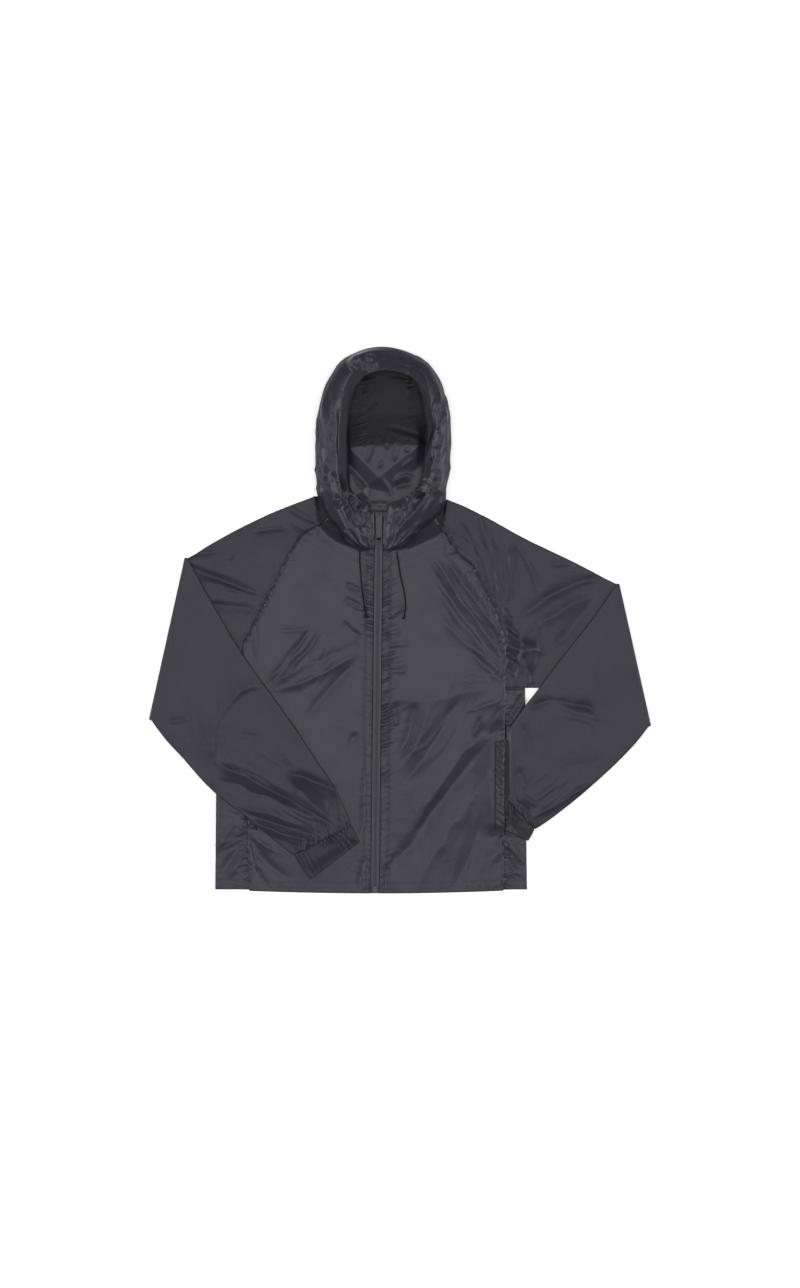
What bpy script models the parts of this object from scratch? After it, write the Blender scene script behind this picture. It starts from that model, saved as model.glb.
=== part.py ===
"""Hooded windbreaker, zipped and laid flat on its back.

The back panel, the backs of the sleeves and the floor of the hood lie on the surface, z = 0.
The fronts, side panels and sleeve fronts lie on them, both forearms are folded across, and
the hood stands open to +Z. +X is the wearer's left, +Y runs from hem to hood.
"""
import math
from collections import namedtuple

import bmesh
import bpy
from mathutils import Vector

MM = 0.001  # every size and table below is in millimetres

# Driving dimensions
CLOTH = 1.2                  # wall of every cloth piece
GAP = 0.3                    # between neighbouring pieces
PITCH = CLOTH + GAP          # middle to middle of two cloth layers that lie on each other
FLOOR_Z = CLOTH / 2          # middle of the layer that lies on the surface
BODY_Z = 3.6                 # middle of the upper body layer, where it lies flat
FOREARM_LOW_Z = 6.6          # middle of the folded forearm's lower layer
FOREARM_TOP_Z = 10.5         # middle of its upper layer
LAP = PITCH + 0.3            # hood edge above the neckline that it covers

HEM_MIDDLE_Y = -486.0
HEM_SIDE_Y = -479.0
NECK_EDGE_Y = 134.0          # top of the fronts beside the zip

ZIP_TOP_Y = 196.0
ZIP_MIDDLE_X = -38.0         # at the height of the neck edge
ZIP_SLANT = 0.0108           # sideways run of the zip for each millimetre of its length
ZIP_RAMP_Y = 130.0           # above this the zip climbs into the hood
ZIP_RAMP = 8.0 / 68.0
TAPE_INNER = 2.4
TAPE_OUTER = 7.0
COIL_WIDTH = 4.2
COIL_HEIGHT = 1.8
COIL_TOP = 1.2               # above the middle of the tape

SLIDER_Y = 183.0
SLIDER_LENGTH = 10.0
SLIDER_WIDTH = 9.6
SLIDER_LOW = COIL_TOP + GAP
SLIDER_HIGH = 3.7
BRIDGE_WINDOW = 2.6          # square window of the bridge, around the tab's crossbar
BRIDGE_POST = 1.2
BRIDGE_WIDTH = 3.0
BRIDGE_ROOF = 1.0
HINGE_HEIGHT = SLIDER_HIGH + BRIDGE_WINDOW / 2
TAB_LENGTH = 42.0
TAB_WIDTH = 10.4
TAB_THICKNESS = 1.2
TAB_CROSSBAR = 1.6
TAB_SLOT_WIDTH = 4.6
TAB_SLOT_END = 4.2
TAB_TILT = math.radians(3.8)  # the tab rests with its free end just above the coil

GUARD_LEFT_X = -51.8
GUARD_RIGHT_X = -23.4
GUARD_LOW_Y = 192.5
GUARD_HIGH_Y = 211.0
GUARD_RISE = COIL_TOP + GAP + CLOTH / 2

CORD_RADIUS = 1.1
CORD_STEP = 5.0              # between the points of a cord's curve
KNOT_RADIUS = 3.0

WELT_TOP_ROW = 2             # rows of the side seam that the pocket welt runs between
WELT_END_ROW = 6

ZIP_STOP_LENGTH = 10.0
ZIP_STOP_WIDTH = 7.0
ZIP_STOP_HEIGHT = 2.0
ZIP_STOP_FROM_HEM = 2.0
SLIDER_BEVEL = 0.7
BRIDGE_BEVEL = 0.4
BRIDGE_SINK = 0.8            # of the bridge's posts in the slider
TAB_BEVEL = 0.35

# How finely the pieces are divided
MITER_LIMIT = 0.35           # least share of a corner's offset that a mitre keeps
RELAX_ROUNDS = 80            # that even out a panel's inner points
SIDE_STEPS = 3               # of a side panel's flat layers
SIDE_BEND_STEPS = 4          # of its turned edge
CAP_STEPS = 3                # of a flattened sleeve's two edges
ELBOW_STEPS = 4              # of the fold at the elbow
CUFF_COLUMNS = 11
FLOOR_COLUMNS = 3            # of the hood's floor
CENTRE_COLUMNS = 4           # of the hood's middle strip
GUARD_COLUMNS = 4
ZIP_STEPS = 12
KNOT_SEGMENTS = 12
KNOT_RINGS = 8


def table(columns, *rows):
    """Rows with named columns."""
    row_type = namedtuple("Row", columns)
    return [row_type(*row) for row in rows]


# Edge of each sleeve, from the neck point along the neckline, the raglan seam and the underarm.
SEAM_RIGHT = table(
    "x y",
    (-141, 224), (-131, 207), (-122, 186), (-143, 171), (-172, 155), (-194, 124), (-227, 57),
    (-270, -27), (-281, -49), (-279, -85), (-278, -119), (-326, -117))
SEAM_LEFT = table(
    "x y",
    (77, 217), (69, 204), (58, 186), (81, 153), (94, 135), (107, 117), (128, 98),
    (145, 68), (162, 37), (186, -31), (187, -121), (222, -121))
NECK_VERTEX = 2              # where the neckline ends and the raglan seam starts
UNDERARM_VERTEX = 10         # where the side seam starts

# Heights of the rows of the side seams, below the underarm.
SIDE_ROW_Y = (-165, -212, -250, -290, -330, -370, -405, -442, HEM_SIDE_Y)
SIDE_SEAM_HEM_X = {"right": -269.0, "left": 185.0}
SIDE_EDGE = {"right": ((-326, -123), (-329, HEM_SIDE_Y)), "left": ((222, -121), (226, HEM_SIDE_Y))}

# Outline of each upper sleeve: share of the way to the elbow, top edge, lower edge.
UPPER_RIGHT = table(
    "share top_x top_y low_x low_y",
    (0.12, -171, 213, -340, -124),
    (0.25, -201, 202, -356, -132),
    (0.50, -256, 178, -387, -147),
    (0.75, -320, 145, -417, -163),
    (1.00, -383, 112, -447, -178))
UPPER_LEFT = table(
    "share top_x top_y low_x low_y",
    (0.12, 108, 205, 236, -121),
    (0.25, 149, 185, 256, -122),
    (0.50, 228, 142, 308, -140),
    (0.75, 312, 102, 378, -165),
    (1.00, 390, 66, 447, -189))

# Outline of each forearm, folded back: upper (inner) edge, lower (outer) edge.
FOREARM_RIGHT = table(
    "top_x top_y low_x low_y",
    (-334, 30, -418, -211),
    (-285, -53, -388, -244),
    (-196, -178, -328, -308),
    (-146, -253, -267, -356),
    (-119, -294, -228, -388),
    (-101, -329, -205, -406),
    (-86, -366, -188, -418))
FOREARM_LEFT = table(
    "top_x top_y low_x low_y",
    (344, 5, 417, -221),
    (297, -55, 379, -260),
    (251, -116, 338, -297),
    (189, -205, 272, -351),
    (174, -240, 255, -363),
    (172, -272, 244, -370),
    (173, -301, 239, -372))
CUFF_RIGHT = table(
    "top_x top_y low_x low_y",
    (-85.8, -366.3, -187.8, -418.3),
    (-78, -381, -174, -440),
    (-72, -394, -160, -461))
CUFF_LEFT = table(
    "top_x top_y low_x low_y",
    (173, -301.5, 239, -372.5),
    (173, -321, 234, -383),
    (173, -340, 228, -393))

# Hood sides, a row for each section from the crown to the zip: the edge of the face opening,
# the outline, the height of the roll between them, and the inner end on the floor.
HOOD_RIGHT = table(
    "edge_x edge_y edge_z out_x out_y crest_z in_x in_y",
    (-64, 432, 40, -77, 479, 48, -62, 461),
    (-75, 418, 40, -103, 460, 48, -62, 441),
    (-84, 400, 40, -125, 431, 48, -62, 418),
    (-88, 383, 40, -138, 402, 48, -62, 395),
    (-91, 365, 39, -145, 374, 47, -62, 374),
    (-93, 344, 38, -149, 344, 46, -62, 351),
    (-94, 320, 37, -150, 313, 45, -62, 329),
    (-93, 299, 35, -151, 287, 44, -62, 312),
    (-93, 285, 34, -150, 267, 43, -85, 308),
    (-93, 271, 32, -150, 253, 42, -107, 290),
    (-94, 260, 30, -148, 239, 40, -125, 265),
    (-93, 247, 28, -146, 222, 38, -139, 236),
    (-89, 235, 26, -138, 207, 35, 0, 0),
    (-80, 222, 22, -125, 180, 31, 0, 0),
    (-69, 211, 17, -108, 162, 26, 0, 0),
    (-54, 206, 14, -91, 139, 21, 0, 0),
    (-53, 192, 13, -77, 131, 17, 0, 0),
    (-45, 184, 11, -62, 126, 13, 0, 0),
    (-45, 132, 7, -52, 125, 8, 0, 0))
HOOD_LEFT = table(
    "edge_x edge_y edge_z out_x out_y crest_z in_x in_y",
    (16, 433, 40, 27, 474, 48, 16, 457),
    (28, 422, 40, 50, 457, 48, 16, 438),
    (36, 404, 40, 68, 429, 48, 16, 417),
    (41, 384, 40, 79, 403, 47, 16, 395),
    (44, 365, 39, 85, 379, 46, 16, 374),
    (48, 344, 38, 88, 351, 45, 16, 351),
    (49, 324, 37, 90, 320, 44, 16, 331),
    (45, 303, 35, 90, 294, 43, 16, 315),
    (43, 287, 34, 89, 274, 42, 34, 310),
    (41, 271, 32, 87, 258, 41, 52, 294),
    (40, 255, 30, 85, 242, 39, 68, 267),
    (35, 243, 28, 82, 225, 37, 75, 240),
    (27, 231, 26, 80, 207, 34, 0, 0),
    (15, 222, 22, 62, 182, 30, 0, 0),
    (0, 213, 17, 37, 164, 25, 0, 0),
    (-20, 205, 14, 17, 144, 20, 0, 0),
    (-22, 192, 13, 2, 130, 16, 0, 0),
    (-30, 184, 11, -13, 125, 12, 0, 0),
    (-30, 132, 7, -23, 123, 8, 0, 0))
HOOD_CENTRE_EDGE = (-26, 442, 40)      # middle of the forehead hem
HOOD_CENTRE_TOP = (-27, 486, 48)       # middle of the crown: outline and height
HOOD_FLOOR_ROWS = 7                    # rows whose inner end lies on the centre panel's seam
HOOD_BACK_ROWS = 10                    # rows whose inner end lies on the back neck seam
HOOD_LIFT_ROW = 11                     # from here on the hood lies over the sleeve and the front
HOOD_LIFT_Z = 6.5

# Section of the hood's roll: share of the way from edge to outline, share of its height.
ROLL = table(
    "across rise",
    (0.00, None), (0.20, 0.95), (0.45, 1.00), (0.70, 0.92), (0.88, 0.74),
    (0.98, 0.48), (1.00, 0.28), (0.96, 0.10), (0.88, 0.00))
LAP_SHARE = 0.26             # of the roll's width, tucked under it where it lies on the front

# Necklines of the fronts, from the raglan seam to the zip.
NECK_RIGHT = table("x y", (-122, 186), (-100, 167), (-80, 149), (-64, 139), (-45, NECK_EDGE_Y))
NECK_LEFT = table("x y", (58, 186), (34, 176), (12, 158), (-5, 141), (-31, NECK_EDGE_Y))
FRONT_COLUMNS = (0.0, 0.17, 0.34, 0.51, 0.68, 0.82, 0.91)
MIDDLE_BACK_X = -27.0

# Soft swells of the upper body layer.
SWELLS = table(
    "x y reach_x reach_y height",
    (-120, 40, 75, 75, 2.2),
    (60, 10, 90, 110, 2.4),
    (70, -300, 80, 120, 1.6),
    (250, 90, 90, 60, 1.8),
    (-255, 120, 70, 45, 1.4))
# Largest folds of the upper body layer: two ends, half width, height (a trough is negative).
FOLDS = table(
    "x0 y0 x1 y1 width height",
    (130, -205, 0, -420, 20, -1.5),
    (165, -215, 40, -425, 18, 1.8),
    (95, -155, 22, -235, 18, 1.4),
    (70, 100, 165, -75, 17, 1.7),
    (95, 112, 180, -40, 13, -1.2),
    (-240, -100, -130, -20, 18, 1.5),
    (-215, -125, -70, -55, 18, -1.2),
    (150, 190, 200, 10, 14, 1.5),
    (290, 60, 210, 5, 16, -1.2),
    (-360, 100, -255, 50, 15, -1.1))
# Largest folds of the two forearms' upper layer.
FOREARM_FOLDS = table(
    "x0 y0 x1 y1 width height",
    (-330, -250, -110, -370, 22, 3.0),
    (-200, -280, -120, -350, 18, -2.0),
    (-350, -90, -260, -110, 30, 1.5),
    (300, -150, 200, -300, 26, 2.0),
    (235, -150, 350, -165, 16, -1.2),
    (270, -330, 205, -310, 14, 1.5))

# Left pocket mouth: the tucked forearm passes from above the side panel to under the front.
MOUTH_FRONT_X = (125.0, 171.0)         # the front rises between these
MOUTH_FRONT_Y = (-390.0, -358.0, -203.0, -174.0)
MOUTH_LIFT = 4.4
MOUTH_SIDE_X = (189.0, 214.0)          # the side panel sinks between these
MOUTH_SIDE_Y = (-388.0, -360.0, -182.0, -142.0)
MOUTH_SINK = 1.5
TUCK_X = (183.0, 214.0)                # the forearm dips between these
TUCK_LOW = 2.7
TUCK_TOP = 4.9

# Routes of the drawcords on the fronts.
CORD_RIGHT = table("x y", (-71, 125), (-71.5, 107), (-69.5, 80), (-67, 53), (-65, 36), (-60, 9))
CORD_LEFT = table("x y", (-6, 121.5), (-2.5, 101), (1, 78), (6, 57), (9.5, 36), (10, 22), (7.5, 7))

# Colours are linear RGB.
SHELL_COLOUR = (0.062, 0.060, 0.070)
CUFF_COLOUR = (0.050, 0.048, 0.056)
ZIP_COLOUR = (0.045, 0.044, 0.050)
METAL_COLOUR = (0.060, 0.060, 0.066)


# ---------------------------------------------------------------- small geometry helpers

def smooth(low, high, value):
    """0 below low, 1 above high, and a soft step between."""
    share = min(max((value - low) / (high - low), 0.0), 1.0)
    return share * share * (3.0 - 2.0 * share)


def mix(start, end, share):
    return start + (end - start) * share


def plan(point):
    """The x and y of a row or a pair, as a flat vector."""
    return Vector((point[0], point[1], 0.0))


def running_shares(points):
    """Share of a polyline's length at each of its points."""
    lengths = [0.0]
    for before, after in zip(points, points[1:]):
        lengths.append(lengths[-1] + (after - before).length)
    return [length / lengths[-1] for length in lengths]


def along(points, shares):
    """Points at the given shares of a polyline's length."""
    marks = running_shares(points)
    placed = []
    for share in shares:
        index = 0
        while index < len(points) - 2 and marks[index + 1] < share:
            index += 1
        local = (share - marks[index]) / (marks[index + 1] - marks[index])
        placed.append(points[index].lerp(points[index + 1], local))
    return placed


def side_step(points, distance):
    """The polyline moved sideways, to the right of its direction, with mitred corners."""
    moved = []
    for index, point in enumerate(points):
        before = points[max(index - 1, 0)]
        after = points[min(index + 1, len(points) - 1)]
        first = (point - before).normalized() if index > 0 else (after - point).normalized()
        second = (after - point).normalized() if index < len(points) - 1 else first
        normal_first = Vector((first.y, -first.x, 0.0))
        normal_second = Vector((second.y, -second.x, 0.0))
        miter = (normal_first + normal_second).normalized()
        moved.append(point + miter * (distance / max(miter.dot(normal_first), MITER_LIMIT)))
    return moved


def relaxed(grid):
    """The grid with its inner points evened out between their neighbours."""
    for _ in range(RELAX_ROUNDS):
        for row in range(1, len(grid) - 1):
            for column in range(1, len(grid[0]) - 1):
                around = (grid[row - 1][column] + grid[row + 1][column]
                          + grid[row][column - 1] + grid[row][column + 1])
                grid[row][column] = around / 4
    return grid


def coons(top, bottom, left, right):
    """Grid of plan points between four edges. Rows run down, columns from left to right."""
    left_shares, right_shares = running_shares(left), running_shares(right)
    top_shares, bottom_shares = running_shares(top), running_shares(bottom)
    grid = []
    for row in range(len(left)):
        down = mix(left_shares[row], right_shares[row], 0.5)
        line = []
        for column in range(len(top)):
            across = mix(top_shares[column], bottom_shares[column], 0.5)
            corners = mix(mix(top[0], top[-1], across), mix(bottom[0], bottom[-1], across), down)
            blend = mix(top[column], bottom[column], down) + mix(left[row], right[row], across)
            line.append(blend - corners)
        grid.append(line)
    for row in range(len(left)):
        grid[row][0], grid[row][-1] = left[row], right[row]
    grid[0], grid[-1] = list(top), list(bottom)
    return relaxed(grid)


def raised(grid, height):
    """Plan points lifted to height(x, y)."""
    return [[Vector((point.x, point.y, height(point.x, point.y))) for point in line] for line in grid]


# ---------------------------------------------------------------- heights of the laid layers

def fold_height(folds, x, y):
    """Sum of the folds at a place: full along each one's middle, fading at its ends and sides."""
    total = 0.0
    for fold in folds:
        run = Vector((fold.x1 - fold.x0, fold.y1 - fold.y0))
        to_place = Vector((x - fold.x0, y - fold.y0))
        share = to_place.dot(run) / run.length_squared
        distance = abs(run.x * to_place.y - run.y * to_place.x) / run.length
        ends = smooth(-0.12, 0.2, share) * (1.0 - smooth(0.8, 1.12, share))
        total += fold.height * ends * math.exp(-(distance / fold.width) ** 2)
    return total


def body_height(x, y):
    """Middle of the fronts, the side panels' upper halves and the sleeves' upper layers."""
    swell = 0.0
    for row in SWELLS:
        across = (x - row.x) / row.reach_x
        down = (y - row.y) / row.reach_y
        swell += row.height * math.exp(-across ** 2 - down ** 2)
    return BODY_Z + swell + fold_height(FOLDS, x, y)


def window(limits, value):
    """1 between the two middle limits, fading to 0 at the outer two."""
    return smooth(limits[0], limits[1], value) * (1.0 - smooth(limits[2], limits[3], value))


def front_left_height(x, y):
    lift = MOUTH_LIFT * smooth(*MOUTH_FRONT_X, x) * window(MOUTH_FRONT_Y, y)
    return body_height(x, y) + lift


def side_left_height(x, y):
    sink = MOUTH_SINK * (1.0 - smooth(*MOUTH_SIDE_X, x)) * window(MOUTH_SIDE_Y, y)
    return body_height(x, y) - sink


def forearm_top_height(x, y):
    tuck = TUCK_TOP * (1.0 - smooth(*TUCK_X, x)) if x > 0 else 0.0
    fold = fold_height(FOREARM_FOLDS, x, y) * (1.0 - tuck / TUCK_TOP)
    return FOREARM_TOP_Z + fold - tuck


def forearm_low_height(x, _y):
    tuck = TUCK_LOW * (1.0 - smooth(*TUCK_X, x)) if x > 0 else 0.0
    return FOREARM_LOW_Z - tuck


def floor_height(_x, _y):
    return FLOOR_Z


def zip_x(y):
    return ZIP_MIDDLE_X + ZIP_SLANT * (y - NECK_EDGE_Y)


def zip_height(y):
    """Middle of the zip's tape."""
    return body_height(zip_x(y), min(y, ZIP_RAMP_Y)) + ZIP_RAMP * max(y - ZIP_RAMP_Y, 0.0)


def hem_y(x):
    """The hem sags a little between the side seams."""
    half = 285.0 if x < ZIP_MIDDLE_X else 264.0
    share = min(abs(x - ZIP_MIDDLE_X) / half, 1.0)
    return mix(HEM_MIDDLE_Y, HEM_SIDE_Y, share * share)


# ---------------------------------------------------------------- Blender helpers

def new_material(name, colour, roughness, metallic=0.0):
    material = bpy.data.materials.new(name)
    material.use_nodes = True
    shader = material.node_tree.nodes["Principled BSDF"]
    shader.inputs["Base Color"].default_value = (*colour, 1.0)
    shader.inputs["Roughness"].default_value = roughness
    shader.inputs["Metallic"].default_value = metallic
    return material


def new_object(name, mesh, collection, finish):
    colour, roughness, metallic = finish
    mesh.materials.append(new_material(name, colour, roughness, metallic))
    item = bpy.data.objects.new(name, mesh)
    collection.objects.link(item)
    return item


def cloth(name, grid, collection, finish, ring=False):
    """A wall of cloth on a grid of points. With ring, each row of the grid is a closed loop."""
    columns = len(grid[0])
    points = [point * MM for line in grid for point in line]
    faces = []
    for row in range(len(grid) - 1):
        for column in range(columns if ring else columns - 1):
            after = (column + 1) % columns
            start = row * columns
            faces.append((start + column, start + after, start + columns + after, start + columns + column))
    mesh = bpy.data.meshes.new(name)
    mesh.from_pydata(points, [], faces)
    mesh.shade_smooth()
    item = new_object(name, mesh, collection, finish)
    wall = item.modifiers.new("wall", "SOLIDIFY")
    wall.thickness = CLOTH * MM
    wall.offset = 0.0
    wall.use_quality_normals = True
    return item


SHELL = (SHELL_COLOUR, 0.45, 0.0)
CUFF = (CUFF_COLOUR, 0.6, 0.0)
TAPE = (ZIP_COLOUR, 0.6, 0.0)
METAL = (METAL_COLOUR, 0.35, 0.8)


# ---------------------------------------------------------------- body panels

def side_seam(side):
    """Plan points of a side seam, from below the underarm to the hem."""
    start = (SEAM_RIGHT if side == "right" else SEAM_LEFT)[UNDERARM_VERTEX]
    end_x = SIDE_SEAM_HEM_X[side]
    line = []
    for y in SIDE_ROW_Y:
        share = (y - start.y) / (HEM_SIDE_Y - start.y)
        line.append(Vector((mix(start.x, end_x, share), y, 0.0)))
    return line


def body_edge(side, first_vertex):
    """Edge of a front or the back beside a sleeve and a side panel, a seam gap inside them."""
    rows = SEAM_RIGHT if side == "right" else SEAM_LEFT
    seam = [plan(row) for row in rows[first_vertex:UNDERARM_VERTEX + 1]] + side_seam(side)
    inward = -GAP if side == "right" else GAP
    return side_step(seam, inward)


def front_grid(side):
    """Rows run down from the neckline, columns from the zip to the side."""
    turn = -1.0 if side == "right" else 1.0
    outer = body_edge(side, NECK_VERTEX)
    neck = [plan(row) for row in (NECK_RIGHT if side == "right" else NECK_LEFT)][::-1]
    neck[-1] = outer[0]
    zip_edge_x = turn * (TAPE_OUTER + GAP)
    neck[0] = Vector((zip_x(NECK_EDGE_Y) + zip_edge_x, NECK_EDGE_Y, 0.0))
    shares = running_shares(outer)
    inner = []
    for share in shares:
        y = mix(NECK_EDGE_Y, HEM_MIDDLE_Y, share)
        inner.append(Vector((zip_x(y) + zip_edge_x, y, 0.0)))
    columns = list(FRONT_COLUMNS) + [1.0]
    top = along(neck, columns)
    bottom = []
    for share in columns:
        x = mix(inner[-1].x, outer[-1].x, share)
        bottom.append(Vector((x, hem_y(x), 0.0)))
    bottom[0], bottom[-1] = inner[-1], outer[-1]
    height = body_height if side == "right" else front_left_height
    return raised(coons(top, bottom, inner, outer), height)


def back_grid():
    """The back, from the back neck seam to the hem."""
    left = body_edge("right", 0)
    right = body_edge("left", 0)
    arch = [plan((row.in_x, row.in_y)) for row in HOOD_RIGHT[HOOD_BACK_ROWS:HOOD_FLOOR_ROWS - 1:-1]]
    arch.append(Vector((MIDDLE_BACK_X, mix(arch[-1].y, HOOD_LEFT[HOOD_FLOOR_ROWS].in_y, 0.5), 0.0)))
    arch += [plan((row.in_x, row.in_y)) for row in HOOD_LEFT[HOOD_FLOOR_ROWS:HOOD_BACK_ROWS + 1]]
    top = side_step([left[0]] + arch + [right[0]], GAP)
    top[0], top[-1] = left[0], right[0]
    bottom = []
    for share in running_shares(top):
        x = mix(left[-1].x, right[-1].x, share)
        bottom.append(Vector((x, hem_y(x), 0.0)))
    bottom[0], bottom[-1] = left[-1], right[-1]
    return raised(coons(top, bottom, left, right), floor_height)


def turned_edge(start, end, low, high, steps):
    """Points of the half round that joins a lower and an upper layer, beyond end."""
    outward = (end - start).normalized()
    radius = (high - low) / 2
    points = []
    for step in range(1, steps):
        angle = -math.pi / 2 + math.pi * step / steps
        place = end + outward * (radius * math.cos(angle))
        points.append(Vector((place.x, place.y, mix(low, high, 0.5) + radius * math.sin(angle))))
    return points


def side_grid(side):
    """A side panel: upper layer, turned outer edge and lower layer, from underarm to hem."""
    seam_rows = SEAM_RIGHT if side == "right" else SEAM_LEFT
    height = body_height if side == "right" else side_left_height
    (top_x, top_y), (hem_x, _hem_y) = SIDE_EDGE[side]
    seam = [plan(seam_rows[UNDERARM_VERTEX])] + side_seam(side)
    grid = []
    for index, inner in enumerate(seam):
        share = (inner.y - seam[0].y) / (seam[-1].y - seam[0].y)
        outline = Vector((mix(top_x, hem_x, share), mix(top_y, HEM_SIDE_Y, share), 0.0))
        drop = Vector((0.0, -2 * GAP if index == 0 else 0.0, 0.0))
        high = height(outline.x, outline.y)
        inset = (high - FLOOR_Z) / 2 + CLOTH / 2
        edge = outline + (inner - outline).normalized() * inset
        flat = [inner.lerp(edge, step / SIDE_STEPS) for step in range(SIDE_STEPS + 1)]
        lower = [Vector((p.x, p.y, FLOOR_Z)) for p in flat]
        upper = [Vector((p.x, p.y, height(p.x, p.y))) for p in flat]
        bend = turned_edge(inner, edge, FLOOR_Z, upper[-1].z, SIDE_BEND_STEPS)
        grid.append([p + drop for p in lower + bend + upper[::-1]])
    return grid


def build_body(collection):
    cloth("back_panel", back_grid(), collection, SHELL)
    for side in ("right", "left"):
        front = front_grid(side)
        cloth("front_" + side, front, collection, SHELL)
        cloth("side_panel_" + side, side_grid(side), collection, SHELL)
        first = UNDERARM_VERTEX - NECK_VERTEX + WELT_TOP_ROW
        last = UNDERARM_VERTEX - NECK_VERTEX + WELT_END_ROW
        lift = Vector((0.0, 0.0, PITCH))
        welt = [[point + lift for point in line[-2:]] for line in front[first:last + 1]]
        cloth("pocket_welt_" + side, welt, collection, SHELL)


# ---------------------------------------------------------------- sleeves and cuffs

def tube_ring(line, low, high, sideways=(0.0, 0.0), outward=None):
    """One closed section of a flattened sleeve.

    line holds plan points from the sleeve's top edge to its lower edge, low and high give the
    two layers' heights there, and sideways moves each layer along outward.
    """
    outward = outward or Vector((0.0, 0.0, 0.0))

    def layer_point(index, share):
        point = line[index] + outward * mix(sideways[0], sideways[1], share)
        z = mix(low(point.x, point.y), high(point.x, point.y), share)
        return Vector((point.x, point.y, z))

    def cap(index, direction):
        size = (layer_point(index, 1.0) - layer_point(index, 0.0)).length / 2
        points = []
        for step in range(1, CAP_STEPS):
            angle = -math.pi / 2 + math.pi * step / CAP_STEPS
            bulge = direction * (size * math.cos(angle))
            points.append(layer_point(index, (1.0 + math.sin(angle)) / 2) + bulge)
        return points

    last = len(line) - 1
    ring = [layer_point(index, 0.0) for index in range(last + 1)]
    ring += cap(last, (line[last] - line[last - 1]).normalized())
    ring += [layer_point(index, 1.0) for index in range(last, -1, -1)]
    ring += cap(0, (line[0] - line[1]).normalized())[::-1]
    return ring


def inset_ends(top, low, inset):
    """Top and lower edge points moved towards each other."""
    step = (low - top).normalized() * inset
    return top + step, low - step


def upper_line(seam, row, shares, inset):
    """Plan points of an upper sleeve's section, which keeps less of the seam's shape near the elbow."""
    top, low = inset_ends(plan((row.top_x, row.top_y)), plan((row.low_x, row.low_y)), inset)
    keep = (1.0 - row.share) ** 4
    line = []
    for point, share in zip(seam, shares):
        departure = point - mix(seam[0], seam[-1], share)
        line.append(mix(top, low, share) + departure * keep)
    return line


def straight_line(row, shares, inset):
    top, low = inset_ends(plan((row.top_x, row.top_y)), plan((row.low_x, row.low_y)), inset)
    return [mix(top, low, share) for share in shares]


def sleeve_rings(side):
    """Sections of a sleeve from the seam over the elbow fold to the cuff."""
    right = side == "right"
    seam = [plan(row) for row in (SEAM_RIGHT if right else SEAM_LEFT)]
    upper = UPPER_RIGHT if right else UPPER_LEFT
    forearm = FOREARM_RIGHT if right else FOREARM_LEFT
    shares = running_shares(seam)

    inset = (BODY_Z - FLOOR_Z) / 2 + CLOTH / 2
    first = side_step(seam, GAP / 2 if right else -GAP / 2)
    first[0] += (seam[1] - seam[0]).normalized() * inset
    first[-1] += (seam[-2] - seam[-1]).normalized() * inset
    rings = [tube_ring(first, floor_height, body_height)]
    rings += [tube_ring(upper_line(seam, row, shares, inset), floor_height, body_height)
              for row in upper[:-1]]

    outer_radius = (FOREARM_TOP_Z - FLOOR_Z) / 2
    inner_radius = (FOREARM_LOW_Z - BODY_Z) / 2
    top, low = plan(upper[-1][1:3]), plan(upper[-1][3:5])
    run = (low - top).normalized()
    outward = Vector((run.y, -run.x, 0.0)) if right else Vector((-run.y, run.x, 0.0))
    top, low = inset_ends(top, low, inset + 1.0)
    fold_inset = outer_radius + CLOTH / 2
    line = [mix(top, low, share) - outward * fold_inset for share in shares]
    for step in range(ELBOW_STEPS + 1):
        angle = math.pi * step / ELBOW_STEPS

        def outer_height(x, y, turn=angle):
            end = forearm_top_height(x, y)
            return mix(FLOOR_Z, end, 0.5) - (end - FLOOR_Z) / 2 * math.cos(turn)

        def inner_height(x, y, turn=angle):
            start, end = body_height(x, y), forearm_low_height(x, y)
            return mix(start, end, 0.5) - (end - start) / 2 * math.cos(turn)

        reach = (outer_radius * math.sin(angle), inner_radius * math.sin(angle))
        rings.append(tube_ring(line, outer_height, inner_height, reach, outward))

    inset = (FOREARM_TOP_Z - FOREARM_LOW_Z) / 2 + CLOTH / 2
    for row in forearm:
        line = straight_line(row, shares, inset)
        rings.append(tube_ring(line, forearm_top_height, forearm_low_height))
    return rings


def cuff_rings(side):
    inset = (FOREARM_TOP_Z - FOREARM_LOW_Z) / 2 + CLOTH / 2
    shares = [index / (CUFF_COLUMNS - 1) for index in range(CUFF_COLUMNS)]
    rows = CUFF_RIGHT if side == "right" else CUFF_LEFT
    return [tube_ring(straight_line(row, shares, inset), forearm_top_height, forearm_low_height)
            for row in rows]


def build_sleeves(collection):
    for side in ("right", "left"):
        cloth("sleeve_" + side, sleeve_rings(side), collection, SHELL, ring=True)
        cloth("cuff_" + side, cuff_rings(side), collection, CUFF, ring=True)


# ---------------------------------------------------------------- hood

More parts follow.
